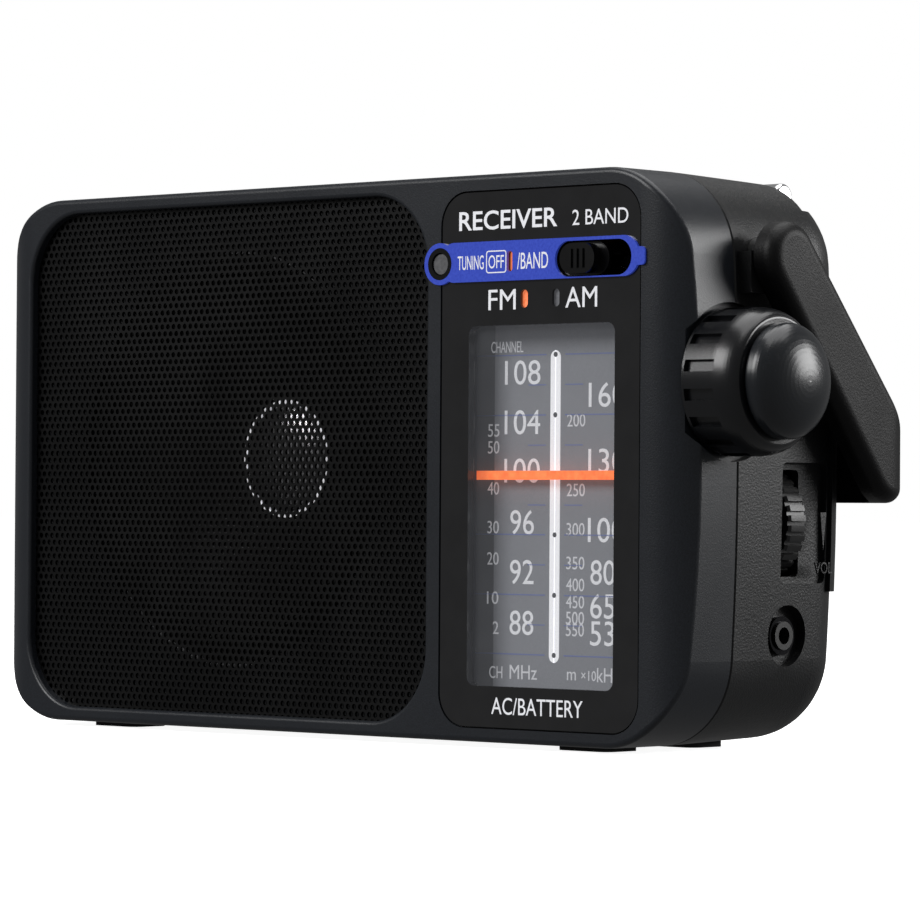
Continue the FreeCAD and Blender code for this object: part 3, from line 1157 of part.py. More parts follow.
# ---------------------------------------------------------------- the set
def all_parts():
    """Every node of the set, by name."""
    nodes = {
        "front_cabinet": front_cabinet(), "rear_cabinet": rear_cabinet(),
        "speaker_grille": speaker_grille(), "rubber_feet": rubber_feet(),
        "case_screws": case_screws(),
        "dial_panel": dial_panel(), "dial_window": dial_window(), "band_trim": band_trim(),
        "led_bezel": led_bezel(), "tuning_led": tuning_led(), "light_box": light_box(),
        "pointer_rail": pointer_rail(), "dial_scale": dial_scale(),
        "dial_pointer": dial_pointer(), "tuning_knob": tuning_knob(), "knob_cap": knob_cap(),
        "tuning_shaft": tuning_shaft(),
        "tuning_bushing": tuning_bushing(),
        "gang_drum": gang_drum(),
        "tuning_capacitor": tuning_capacitor(), "pulley_top": pulley(PULLEY_TOP_Z),
        "pulley_low": pulley(PULLEY_LOW_Z), "drive_brackets": drive_brackets(),
        "dial_cord": dial_cord(), "band_slider": band_slider(), "band_flag": band_flag(),
        "band_switch": band_switch(),
        "volume_wheel": volume_wheel(),
        "volume_control": volume_control(), "earphone_jack": earphone_jack(),
        "jack_nut": jack_nut(), "speaker_frame": speaker_frame(),
        "speaker_surround": speaker_surround(), "speaker_cone": speaker_cone(),
        "dust_cap": dust_cap(), "voice_coil": voice_coil(), "speaker_magnet": speaker_magnet(),
        "main_board": main_board(), "coil_cans": coil_cans(), "chips": chips(),
        "smoothing_capacitors": smoothing_capacitors(), "ferrite_rod": ferrite_rod(),
        "rod_coil": rod_coil(), "rod_holders": rod_holders(),
        "power_transformer": power_transformer(), "transformer_winding": transformer_winding(),
        "mains_inlet": mains_inlet(), "inlet_pins": inlet_pins(), "battery_box": battery_box(),
        "battery_contacts": battery_contacts(),
        "battery_door": battery_door(), "handle": handle(), "handle_pivots": handle_pivots(),
        "antenna_base": antenna_base(),
        "antenna_elbow": antenna_elbow(), "antenna_tip": antenna_tip(),
    }
    for number in range(len(SECTIONS)):
        nodes["antenna_section_%d" % (number + 1)] = antenna_section(number)
    return nodes


def stand_on_origin(shape):
    """Move a shape so that the origin lies under the middle of the whole set's box."""
    moved = shape.copy()
    moved.translate(V((ARM_X1 - KNOB_TIP_X) / 2, (NUB_PROUD + NUB_RIB - GRIP_BACK_Y) / 2, 0))
    return moved


def main():
    os.makedirs("parts", exist_ok=True)
    for name, shape in all_parts().items():
        shape = stand_on_origin(shape)
        box = shape.BoundBox
        print("%-22s %d solids  valid %s  %.1f..%.1f  %.1f..%.1f  %.1f..%.1f" % (
            name, len(shape.Solids), shape.isValid(), box.XMin, box.XMax, box.YMin, box.YMax,
            box.ZMin, box.ZMax))
        shape.exportStep("parts/%s.step" % name)


main()
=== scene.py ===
import math
import bpy
import numpy as np
from mathutils import Matrix, Vector


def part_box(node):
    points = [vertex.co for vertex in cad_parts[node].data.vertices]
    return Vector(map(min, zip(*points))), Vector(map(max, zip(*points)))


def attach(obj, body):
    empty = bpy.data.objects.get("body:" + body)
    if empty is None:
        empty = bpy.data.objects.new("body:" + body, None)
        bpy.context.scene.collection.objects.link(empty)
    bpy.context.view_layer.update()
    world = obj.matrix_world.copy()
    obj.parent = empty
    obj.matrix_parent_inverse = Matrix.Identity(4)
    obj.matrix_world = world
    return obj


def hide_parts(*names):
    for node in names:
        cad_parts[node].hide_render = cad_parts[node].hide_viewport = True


# Looks of a portable two-band receiver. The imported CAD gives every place: lengths below
# are millimetres, with x = 0 at the middle of the case, y = 0 on its front face and
# z = 0 under the feet, and to_frame turns them into the frame's metres.

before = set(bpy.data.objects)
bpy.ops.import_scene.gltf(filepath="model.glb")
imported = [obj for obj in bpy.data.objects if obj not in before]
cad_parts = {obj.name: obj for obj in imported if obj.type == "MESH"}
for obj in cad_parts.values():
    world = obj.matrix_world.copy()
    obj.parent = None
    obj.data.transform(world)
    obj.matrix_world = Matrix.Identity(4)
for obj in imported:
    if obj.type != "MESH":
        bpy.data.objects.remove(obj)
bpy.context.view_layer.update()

MM = 0.001
cabinet_low, cabinet_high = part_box("front_cabinet")
CASE_MIDDLE = np.array([(cabinet_low.x + cabinet_high.x) / 2, cabinet_low.y, 0.0])


def inside_case(node):
    """Lowest and highest corner of a node in case millimetres."""
    low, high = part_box(node)
    return (np.array(low) - CASE_MIDDLE) / MM, (np.array(high) - CASE_MIDDLE) / MM


SCALE_FRONT = inside_case("dial_scale")[0][1]
PANEL_FRONT = inside_case("dial_panel")[0][1]
BAR_FRONT = inside_case("band_trim")[0][1]
FLAG_FRONT = inside_case("band_flag")[0][1]     # front of the flag's pads
INK = 0.04              # how far a printed surface stands out
INK_SUNK = 0.02         # and how far it reaches into what it is printed on
PLATE_PAINTED_SHADOW_X = 46.8   # left of this the scale plate is darker: a painted shadow of the panel's window edge
POINTER_PAINTED_SHADE_X = 40.0  # right of this the pointer is orange; left of it, behind the wall, it is painted black as painted shade


# ---------------------------------------------------------------- mesh helpers
def to_frame(points):
    """Case millimetres to the frame's metres."""
    return np.asarray(points, float) * MM + CASE_MIDDLE


def piece(name, points, faces, body, slot, surface, smooth=False):
    """A new piece from points in case millimetres and rows of corner numbers."""
    mesh = bpy.data.meshes.new(name)
    mesh.from_pydata(to_frame(points).tolist(), [], faces)
    mesh.polygons.foreach_set("use_smooth", [smooth] * len(mesh.polygons))
    mesh.materials.append(surface)
    mesh.update()
    made = bpy.data.objects.new(name, mesh)
    bpy.context.scene.collection.objects.link(made)
    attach(made, body)
    return made


def raised(outline, back, front):
    """A flat shape given thickness: the outline's (x, z) corners run anticlockwise as seen
    from the front, one ring lies at y = front, one at y = back, and walls join them."""
    n = len(outline)
    ring = np.arange(n)
    points = np.zeros((2 * n, 3))
    points[:, 0] = np.tile(outline[:, 0], 2)
    points[:, 2] = np.tile(outline[:, 1], 2)
    points[:n, 1] = front
    points[n:, 1] = back
    after = np.roll(ring, -1)
    walls = np.stack([ring, ring + n, after + n, after], axis=1).tolist()
    return points, [ring.tolist(), (ring[::-1] + n).tolist()] + walls


def pill(x0, x1, z0, z1, radius, steps=8):
    """Outline of a rectangle with rounded corners: four quarter circles of the radius,
    one about each corner's centre, taken anticlockwise from the lower left."""
    turn = np.linspace(0, math.pi / 2, steps)
    centres = ((x0 + radius, z0 + radius, math.pi), (x1 - radius, z0 + radius, 1.5 * math.pi),
               (x1 - radius, z1 - radius, 0.0), (x0 + radius, z1 - radius, 0.5 * math.pi))
    corners = [np.stack([cx + radius * np.cos(turn + start), cz + radius * np.sin(turn + start)], axis=1)
               for cx, cz, start in centres]
    return np.concatenate(corners)


def gathered(shapes):
    """Several (points, faces) shapes as one."""
    points, faces, count = [], [], 0
    for own_points, own_faces in shapes:
        points.append(own_points)
        faces += [[corner + count for corner in face] for face in own_faces]
        count += len(own_points)
    return np.concatenate(points), faces


def word_shape(text, weight):
    """Letters as a solid mesh: the font's outlines filled and given a thickness of one."""
    curve = bpy.data.curves.new("letters", "FONT")
    curve.body = text
    curve.size = 1.0
    curve.extrude = 0.5
    curve.offset = weight
    curve.resolution_u = 5
    writer = bpy.data.objects.new("letters", curve)
    bpy.context.scene.collection.objects.link(writer)
    bpy.context.view_layer.update()
    mesh = bpy.data.meshes.new_from_object(writer.evaluated_get(bpy.context.evaluated_depsgraph_get()))
    points = np.zeros(len(mesh.vertices) * 3)
    mesh.vertices.foreach_get("co", points)
    faces = [list(face.vertices) for face in mesh.polygons]
    bpy.data.objects.remove(writer)
    bpy.data.curves.remove(curve)
    bpy.data.meshes.remove(mesh)
    return points.reshape(-1, 3), faces


def fitted(points, across, up, proud):
    """Letters stretched so that their box is across wide, up high and proud thick."""
    low, high = points.min(0), points.max(0)
    unit = (points - low) / (high - low)
    spans = np.array([across, up, proud])
    return spans[:, 0] + unit * (spans[:, 1] - spans[:, 0])


def front_word(text, x0, x1, z0, z1, y, weight=0.0):
    """A word printed on a surface that faces the listener, at depth y."""
    points, faces = word_shape(text, weight)
    flat = fitted(points, (x0, x1), (z0, z1), (-INK_SUNK, INK))
    return np.stack([flat[:, 0], y - flat[:, 2], flat[:, 1]], axis=1), faces


def side_word(text, y0, y1, z0, z1, x, proud, weight=0.0):
    """A word raised on a surface that faces right, at distance x."""
    points, faces = word_shape(text, weight)
    flat = fitted(points, (y0, y1), (z0, z1), (-INK_SUNK, proud))
    return np.stack([x + flat[:, 2], flat[:, 0], flat[:, 1]], axis=1), faces


def strip(x0, x1, z, thick, y):
    """A printed line."""
    outline = np.array([[x0, z - thick / 2], [x1, z - thick / 2], [x1, z + thick / 2], [x0, z + thick / 2]])
    return raised(outline, y + INK_SUNK, y - INK)


# ---------------------------------------------------------------- finishes
def tint(red, green, blue):
    """An everyday 0 to 255 colour as the shader's linear one."""
    return tuple((c / 255) ** 2.2 for c in (red, green, blue)) + (1.0,)


def new_group(name, inputs, outputs):
    """An empty shader group with named number sockets."""
    group = bpy.data.node_groups.new(name, "ShaderNodeTree")
    for label, kind in inputs:
        group.interface.new_socket(label, in_out="INPUT", socket_type=kind)
    for label in outputs:
        group.interface.new_socket(label, in_out="OUTPUT", socket_type="NodeSocketFloat")
    return group, group.nodes.new("NodeGroupInput"), group.nodes.new("NodeGroupOutput")


def spread_out(tree, source, low, high):
    """Stretches the middle of a noise value over 0 to 1."""
    spread = tree.nodes.new("ShaderNodeMapRange")
    spread.inputs["From Min"].default_value = low
    spread.inputs["From Max"].default_value = high
    tree.links.new(source, spread.inputs["Value"])
    return spread.outputs["Result"]


def make_grain():
    """Fine surface texture: noise whose bumps are Size metres apart, squeezed by Stretch."""
    group, given, result = new_group(
        "moulded_grain", [("Size", "NodeSocketFloat"), ("Stretch", "NodeSocketVector")], ["Tone"])
    place = group.nodes.new("ShaderNodeTexCoord")
    squeeze = group.nodes.new("ShaderNodeVectorMath")
    squeeze.operation = "MULTIPLY"
    per_metre = group.nodes.new("ShaderNodeMath")
    per_metre.operation = "DIVIDE"
    per_metre.inputs[0].default_value = 1.0
    noise = group.nodes.new("ShaderNodeTexNoise")
    noise.inputs["Detail"].default_value = 3.0
    group.links.new(place.outputs["Object"], squeeze.inputs[0])
    group.links.new(given.outputs["Stretch"], squeeze.inputs[1])
    group.links.new(given.outputs["Size"], per_metre.inputs[1])
    group.links.new(squeeze.outputs[0], noise.inputs["Vector"])
    group.links.new(per_metre.outputs[0], noise.inputs["Scale"])
    group.links.new(spread_out(group, noise.outputs["Fac"], 0.3, 0.7), result.inputs["Tone"])
    return group


def make_handling():
    """Slow changes of gloss where hands have been: wide soft noise."""
    group, given, result = new_group("handling_marks", [("Size", "NodeSocketFloat")], ["Mask"])
    place = group.nodes.new("ShaderNodeTexCoord")
    per_metre = group.nodes.new("ShaderNodeMath")
    per_metre.operation = "DIVIDE"
    per_metre.inputs[0].default_value = 1.0
    noise = group.nodes.new("ShaderNodeTexNoise")
    noise.inputs["Detail"].default_value = 4.0
    noise.inputs["Distortion"].default_value = 0.4
    group.links.new(place.outputs["Object"], noise.inputs["Vector"])
    group.links.new(given.outputs["Size"], per_metre.inputs[1])
    group.links.new(per_metre.outputs[0], noise.inputs["Scale"])
    group.links.new(spread_out(group, noise.outputs["Fac"], 0.35, 0.65), result.inputs["Mask"])
    return group


def make_dust():
    """Dust on what faces up: the normal's height times speckled noise."""
    group, given, result = new_group("settled_dust", [("Amount", "NodeSocketFloat")], ["Mask"])
    facing = group.nodes.new("ShaderNodeNewGeometry")
    upward = group.nodes.new("ShaderNodeSeparateXYZ")
    place = group.nodes.new("ShaderNodeTexCoord")
    noise = group.nodes.new("ShaderNodeTexNoise")
    noise.inputs["Scale"].default_value = 900.0
    noise.inputs["Detail"].default_value = 2.0
    flat = group.nodes.new("ShaderNodeMath")
    flat.operation = "MULTIPLY"
    flat.use_clamp = True
    share = group.nodes.new("ShaderNodeMath")
    share.operation = "MULTIPLY"
    group.links.new(facing.outputs["Normal"], upward.inputs[0])
    group.links.new(place.outputs["Object"], noise.inputs["Vector"])
    group.links.new(upward.outputs["Z"], flat.inputs[0])
    group.links.new(spread_out(group, noise.outputs["Fac"], 0.5, 0.75), flat.inputs[1])
    group.links.new(flat.outputs[0], share.inputs[0])
    group.links.new(given.outputs["Amount"], share.inputs[1])
    group.links.new(share.outputs[0], result.inputs["Mask"])
    return group


GRAIN, HANDLING, DUST = make_grain(), make_handling(), make_dust()
DUST_COLOUR = tint(120, 118, 112)


def placed_group(tree, group, **values):
    """The group as a node of this material, with its own values."""
    node = tree.nodes.new("ShaderNodeGroup")
    node.node_tree = group
    for label, value in values.items():
        node.inputs[label].default_value = value
    return node


def blended(tree, share, first, second):
    """A mix of two colours, each a plain colour or a socket."""
    mix = tree.nodes.new("ShaderNodeMix")
    mix.data_type = "RGBA"
    tree.links.new(share, mix.inputs[0])
    for socket, value in ((mix.inputs[6], first), (mix.inputs[7], second)):
        if isinstance(value, tuple):
            socket.default_value = value
        else:
            tree.links.new(value, socket)
    return mix.outputs[2]


def finish(name, dark, light, rough, grain=0.5, relief=0.0, stretch=(1, 1, 1), metal=0.0, coat=0.0,
           dust=0.25, glow=0.0, specular=0.5):
    """A surface finish: colour between dark and light by the grain, gloss by handling,
    relief in millimetres by the grain, and a little dust on top."""
    made = bpy.data.materials.new(name)
    made.use_nodes = True
    tree = made.node_tree
    shader = tree.nodes["Principled BSDF"]
    grained = placed_group(tree, GRAIN, Size=grain * MM, Stretch=stretch)
    handled = placed_group(tree, HANDLING, Size=0.035)
    dusted = placed_group(tree, DUST, Amount=dust)
    body_colour = blended(tree, grained.outputs["Tone"], tint(*dark), tint(*light))
    tree.links.new(blended(tree, dusted.outputs["Mask"], body_colour, DUST_COLOUR),
                   shader.inputs["Base Color"])
    gloss = tree.nodes.new("ShaderNodeMapRange")
    gloss.inputs["To Min"].default_value = rough[0]
    gloss.inputs["To Max"].default_value = rough[1]
    tree.links.new(handled.outputs["Mask"], gloss.inputs["Value"])
    tree.links.new(gloss.outputs["Result"], shader.inputs["Roughness"])
    if relief:
        bump = tree.nodes.new("ShaderNodeBump")
        bump.inputs["Distance"].default_value = relief * MM
        tree.links.new(grained.outputs["Tone"], bump.inputs["Height"])
        tree.links.new(bump.outputs["Normal"], shader.inputs["Normal"])
    shader.inputs["Metallic"].default_value = metal
    shader.inputs["Coat Weight"].default_value = coat
    shader.inputs["Coat Roughness"].default_value = 0.08
    shader.inputs["Specular IOR Level"].default_value = specular
    # glow makes the colour shine by itself: painted light on every part given it, except the floor, where it
    # keeps the floor evenly white
    if glow:
        tree.links.new(body_colour, shader.inputs["Emission Color"])
        shader.inputs["Emission Strength"].default_value = glow
    return made


def clear_window():
    """Thin clear acrylic: mostly see-through, with a faint haze that varies a little."""
    made = finish("window_clear", (150, 152, 158), (165, 168, 174), (0.04, 0.09), grain=8.0, dust=0.0)
    made.node_tree.nodes["Principled BSDF"].inputs["Alpha"].default_value = 0.10
    made.blend_method = "BLEND"
    return made


def painted_shade_left(made, edge_x, colour):
    """A finish given another colour left of edge_x, there as painted shade: a narrow ramp over the x
    position.
    """
    tree = made.node_tree
    shader = tree.nodes["Principled BSDF"]
    place = tree.nodes.new("ShaderNodeTexCoord")
    axes = tree.nodes.new("ShaderNodeSeparateXYZ")
    edge = tree.nodes.new("ShaderNodeMapRange")
    middle = to_frame([[edge_x, 0, 0]])[0][0]
    edge.inputs["From Min"].default_value = middle - 0.1 * MM
    edge.inputs["From Max"].default_value = middle + 0.1 * MM
    tree.links.new(place.outputs["Object"], axes.inputs[0])
    tree.links.new(axes.outputs["X"], edge.inputs["Value"])
    for label in ("Base Color", "Emission Color"):
        plain = shader.inputs[label].links[0].from_socket
        tree.links.new(blended(tree, edge.outputs["Result"], tint(*colour), plain), shader.inputs[label])
    return made


def scale_plate():
    """The printed plate with a fine speckle and a faint glow of painted light; left of a line it is darker, a
    painted shadow of the panel's window edge.
    """
    plain = finish("scale_print", (138, 140, 146), (146, 148, 154), (0.45, 0.6), grain=0.3, dust=0.0,
                   glow=0.05)
    return painted_shade_left(plain, PLATE_PAINTED_SHADOW_X, (84, 85, 89))


def pointer_glow_and_painted_shade():
    """Orange with a painted glow where the window shows it, and black as painted shade where the pointer
    passes behind the wall.
    """
    plain = finish("pointer_orange", (255, 104, 40), (255, 128, 62), (0.35, 0.45), grain=1.5, dust=0.0,
                   glow=0.85)
    return painted_shade_left(plain, POINTER_PAINTED_SHADE_X, (12, 12, 12))


BLACK_TEXTURE = dict(grain=0.45, relief=0.035, dust=0.12, specular=0.4)
STEEL = dict(metal=1.0, grain=0.15, stretch=(1, 8, 1), relief=0.004)
FINISHES = {
    "cabinet_charcoal": finish("cabinet_charcoal", (31, 33, 37), (38, 41, 46), (0.32, 0.38), grain=0.35,
                               relief=0.012, dust=0.06, specular=0.4),
    "cabinet_black": finish("cabinet_black", (17, 18, 19), (24, 25, 27), (0.38, 0.46), **BLACK_TEXTURE),
    "door_black": finish("door_black", (17, 18, 19), (24, 25, 27), (0.38, 0.46), **BLACK_TEXTURE),
    "handle_black": finish("handle_black", (13, 13, 14), (18, 18, 19), (0.42, 0.5), grain=0.4,
                           relief=0.025, dust=0.06, specular=0.2),
    "grille_black": finish("grille_black", (9, 9, 10), (13, 13, 14), (0.3, 0.4), grain=0.3,
                           relief=0.004, dust=0.03, specular=0.25),
    "foot_rubber": finish("foot_rubber", (18, 18, 18), (26, 26, 26), (0.75, 0.9), grain=0.3, relief=0.02),
    "screw_steel": finish("screw_steel", (150, 150, 152), (185, 185, 188), (0.25, 0.4), **STEEL),
    "panel_smoke": finish("panel_smoke", (33, 33, 34), (37, 37, 38), (0.08, 0.14), grain=6.0, dust=0.02,
                          coat=0.2),
    "window_clear": clear_window(),
    # glow=0.36 paints light into the blue bar's colour
    "trim_blue": finish("trim_blue", (48, 66, 168), (58, 78, 184), (0.18, 0.26), grain=0.6, dust=0.03,
                        coat=0.5, glow=0.36),
    "bezel_black": finish("bezel_black", (12, 12, 13), (18, 18, 19), (0.1, 0.16), grain=2.0, dust=0.05),
    "lamp_grey": finish("lamp_grey", (92, 92, 94), (112, 112, 114), (0.15, 0.25), grain=0.8, dust=0.0),
    "box_black": finish("box_black", (14, 14, 14), (20, 20, 20), (0.6, 0.75), grain=0.4, relief=0.01),
    "rail_steel": finish("rail_steel", (160, 160, 162), (190, 190, 192), (0.2, 0.3), **STEEL),
    "scale_print": scale_plate(),
    "bushing_brass": finish("bushing_brass", (180, 140, 70), (205, 165, 90), (0.25, 0.35), **STEEL),
    "capacitor_case": finish("capacitor_case", (190, 188, 182), (205, 203, 198), (0.4, 0.5), grain=1.0),
    "bracket_steel": finish("bracket_steel", (160, 160, 162), (185, 185, 188), (0.3, 0.45), **STEEL),
    "cord_thread": finish("cord_thread", (150, 145, 128), (205, 200, 184), (0.8, 0.9), grain=0.2,
                          stretch=(3, 1, 1), relief=0.03),
    "switch_steel": finish("switch_steel", (170, 170, 172), (195, 195, 198), (0.3, 0.4), **STEEL),
    "control_brown": finish("control_brown", (88, 56, 34), (112, 74, 46), (0.5, 0.6), grain=0.8),
    "jack_black": finish("jack_black", (16, 16, 16), (22, 22, 22), (0.35, 0.45), grain=0.8),
    "nut_chrome": finish("nut_chrome", (48, 48, 50), (64, 64, 66), (0.12, 0.2), metal=1.0),
    "basket_steel": finish("basket_steel", (120, 120, 122), (140, 140, 142), (0.35, 0.5), metal=0.6),
    "surround_cloth": finish("surround_cloth", (26, 26, 26), (36, 36, 36), (0.8, 0.9), grain=0.5,
                             relief=0.05),
    "magnet_ferrite": finish("magnet_ferrite", (50, 50, 52), (66, 66, 68), (0.6, 0.7), grain=0.4,
                             relief=0.01),
    "board_tan": finish("board_tan", (150, 112, 62), (172, 132, 78), (0.4, 0.5), grain=1.4,
                        stretch=(1, 1, 3)),
    "can_aluminium": finish("can_aluminium", (185, 185, 188), (210, 210, 212), (0.25, 0.35), **STEEL),
    "chip_black": finish("chip_black", (24, 24, 25), (32, 32, 33), (0.4, 0.5), grain=0.3, relief=0.01),
    "electrolytic_blue": finish("electrolytic_blue", (38, 52, 110), (48, 64, 126), (0.2, 0.3)),
    "ferrite_grey": finish("ferrite_grey", (56, 56, 57), (74, 74, 75), (0.6, 0.7), grain=0.5, relief=0.01),
    "coil_copper": finish("coil_copper", (150, 78, 40), (200, 116, 66), (0.3, 0.4), metal=0.8, grain=0.3,
                          stretch=(6, 1, 1), relief=0.03),
    "holder_white": finish("holder_white", (196, 196, 190), (212, 212, 206), (0.45, 0.55)),
    "core_steel": finish("core_steel", (70, 68, 66), (96, 94, 92), (0.4, 0.5), metal=0.5, grain=0.4,
                         stretch=(1, 6, 1), relief=0.02),
    "winding_tape": finish("winding_tape", (190, 156, 66), (206, 172, 82), (0.5, 0.6), grain=0.6),
    "inlet_black": finish("inlet_black", (16, 16, 16), (22, 22, 22), (0.25, 0.35), grain=0.8),
    "pin_chrome": finish("pin_chrome", (175, 175, 176), (200, 200, 200), (0.12, 0.2), metal=1.0),
    "tray_black": finish("tray_black", (22, 22, 23), (30, 30, 31), (0.5, 0.6), grain=0.6, relief=0.02),
    "contact_chrome": finish("contact_chrome", (175, 175, 172), (200, 200, 198), (0.18, 0.3), metal=1.0),
    "pivot_black": finish("pivot_black", (26, 26, 27), (38, 38, 39), (0.3, 0.4), metal=0.7),
    "knob_black": finish("knob_black", (17, 18, 20), (22, 23, 26), (0.24, 0.32), grain=0.3, relief=0.006,
                         dust=0.05),
    "cap_satin": finish("cap_satin", (26, 28, 31), (33, 36, 40), (0.22, 0.3), grain=0.25, relief=0.004,
                        dust=0.08),
    "shaft_steel": finish("shaft_steel", (165, 165, 168), (190, 190, 192), (0.2, 0.3), **STEEL),
    "pointer_orange": pointer_glow_and_painted_shade(),
    "drum_white": finish("drum_white", (205, 203, 196), (218, 216, 210), (0.4, 0.5)),
    "slider_black": finish("slider_black", (12, 12, 13), (17, 17, 18), (0.14, 0.22), grain=1.0, dust=0.03),
    "flag_print": finish("flag_print", (84, 85, 88), (92, 93, 96), (0.5, 0.6), grain=0.6, dust=0.0),
    "wheel_black": finish("wheel_black", (18, 18, 19), (26, 26, 27), (0.35, 0.45), grain=0.5, relief=0.01),
    "cone_paper": finish("cone_paper", (16, 16, 17), (25, 25, 26), (0.75, 0.9), grain=0.8, relief=0.05),
    "cap_bright": finish("cap_bright", (200, 200, 204), (220, 220, 224), (0.18, 0.26), metal=1.0, dust=0.0),
    # glow=0.16 paints a brighter reflection into the chrome
    "antenna_chrome": finish("antenna_chrome", (190, 190, 192), (214, 214, 215), (0.06, 0.12), metal=1.0,
                             dust=0.0, glow=0.16),
}
PRINT = dict(grain=0.25, dust=0.0)
# These inks glow: painted light that keeps the white and grey print bright
WHITE_INK = finish("white_ink", (214, 215, 220), (232, 233, 237), (0.45, 0.55), glow=0.34, **PRINT)
BAR_INK = finish("bar_ink", (226, 227, 231), (238, 238, 241), (0.45, 0.55), glow=0.55, **PRINT)
GREY_INK = finish("grey_ink", (200, 201, 206), (214, 215, 220), (0.5, 0.6), glow=0.3, **PRINT)
BLUE_INK = finish("blue_ink", (112, 124, 176), (126, 138, 190), (0.5, 0.6), **PRINT)
DOT_INK = finish("dot_ink", (84, 85, 90), (98, 99, 104), (0.5, 0.6), **PRINT)
PATCH = dict(grain=0.5, dust=0.0)
# Both patch colours glow: painted light in the flag's orange and grey patches
ORANGE_PATCH_PAINTED_GLOW = finish("orange_patch_painted_glow", (236, 112, 66), (250, 140, 96), (0.4, 0.5), glow=0.75, **PATCH)
GREY_PATCH_PAINTED_GLOW = finish("grey_patch_painted_glow", (92, 93, 97), (104, 105, 109), (0.4, 0.5), glow=0.35, **PATCH)
# A painted glint: this ring glows to stand for light caught at the dust cap's edge
RIM_PAINTED_GLINT = finish("rim_painted_glint", (190, 190, 194), (226, 226, 230), (0.2, 0.3), grain=0.8, metal=0.3,
                    dust=0.0, glow=0.7)
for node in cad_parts.values():
    for place in node.material_slots:
        place.material = FINISHES[place.material.name.split(".")[0]]


# ---------------------------------------------------------------- perforated grille
HOLE_PITCH = 1.84       # along a row
HOLE_R = 0.63
SOLID_EDGE = 1.1        # no holes this near the sheet's edge
SHEET_CORNER = 17.5
ROWS_EACH_WAY = 40      # more than the sheet holds, then cut to it


def from_edge(points, low, high):
    """How far each (x, z) is inside the sheet: rounded rectangle distance."""
    middle, half = (low + high) / 2, (high - low) / 2 - SHEET_CORNER
    past = np.abs(points - middle) - half
    outside = np.linalg.norm(np.maximum(past, 0), axis=1)
    return SHEET_CORNER - outside - np.minimum(past.max(1), 0)


def on_sheet(points, low, high):
    """Corners past the sheet's edge pulled back to it, towards the corner circle's centre."""
    middle, half = (low + high) / 2, (high - low) / 2 - SHEET_CORNER
    centre = np.clip(points - middle, -half, half) + middle
    out = points - centre
    length = np.linalg.norm(out, axis=1, keepdims=True)
    shrink = np.minimum(1.0, SHEET_CORNER / np.maximum(length, 1e-9))
    return centre + out * shrink


def merged(points, faces):
    """Points at the same place made one, and the faces told."""
    keys = np.round(points * 1e4).astype(np.int64)
    _, first, same = np.unique(keys, axis=0, return_index=True, return_inverse=True)
    return points[first], same.reshape(-1)[faces]


def perforated_half(name, cells, low, high, front, back):
    """Sheet metal from six-sided cells: each cell's outline has twelve points, the odd ones
    its corners, and a round hole of twelve points. Quads join outline and hole on the front
    and back, walls line the hole, and walls close the sheet's own edge."""
    turn = np.arange(12) * math.pi / 6
    way = np.stack([np.cos(turn), np.sin(turn)], axis=1)
    reach = np.where(np.arange(12) % 2, HOLE_PITCH / math.sqrt(3), HOLE_PITCH / 2)
    outer = (cells[:, None, :] + way * reach[:, None]).reshape(-1, 2)
    inner = (cells[:, None, :] + way * HOLE_R).reshape(-1, 2)
    ring = np.arange(12)
    after = np.roll(ring, -1)
    start = np.arange(len(cells))[:, None] * 12
    holed = from_edge(cells, low, high) > SOLID_EDGE
    flat = on_sheet(np.concatenate([outer, inner]), low, high)
    inside = start + len(outer)
    quads = np.stack([start + ring, start + after, inside + after, inside + ring], axis=2)
    quads = quads[holed].reshape(-1, 4)
    solid = (start + ring)[~holed]
    flat, numbers = merged(flat, np.arange(len(flat)))
    quads, solid = numbers[quads], numbers[solid]
    n = len(flat)
    rims = numbers[np.stack([inside + ring, inside + after], axis=2)[holed].reshape(-1, 2)]
    bore = np.stack([rims[:, 0], rims[:, 1], rims[:, 1] + n, rims[:, 0] + n], axis=1)
    sides = numbers[np.stack([start + ring, start + after], axis=2).reshape(-1, 2)]
    alone = ~np.isin(sides[:, 0] * n + sides[:, 1], sides[:, 1] * n + sides[:, 0])
    alone &= sides[:, 0] != sides[:, 1]
    edge = sides[alone]
    wall = np.stack([edge[:, 1], edge[:, 0], edge[:, 0] + n, edge[:, 1] + n], axis=1)
    points = np.zeros((2 * n, 3))
    points[:, 0] = np.tile(flat[:, 0], 2)
    points[:, 2] = np.tile(flat[:, 1], 2)
    points[:n, 1] = front
    points[n:, 1] = back
    faces = np.concatenate([quads, quads[:, ::-1] + n, bore, wall]).tolist()
    faces += solid.tolist() + (solid[:, ::-1] + n).tolist()
    return piece(name, points, faces, "case", "grille_black", FINISHES["grille_black"])


def speaker_grille():
    """The sheet's holes in rows, each row half a pitch along from the last."""
    box_low, box_high = inside_case("speaker_grille")
    low, high = box_low[[0, 2]], box_high[[0, 2]]
    middle = (low + high) / 2
    row_step = HOLE_PITCH * math.sqrt(3) / 2
    steps = np.arange(-ROWS_EACH_WAY, ROWS_EACH_WAY + 1)
    row, count = np.meshgrid(steps, steps, indexing="ij")
    centres = np.stack([(count + (row % 2) / 2) * HOLE_PITCH, row * row_step], axis=2).reshape(-1, 2) + middle
    centres = centres[from_edge(centres, low, high) > 0.05]
    left = centres[:, 0] < middle[0]
    for name, half in (("grille_left", left), ("grille_right", ~left)):
        sheet = perforated_half(name, centres[half], low, high, box_low[1], box_high[1])
        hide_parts("speaker_grille")


speaker_grille()


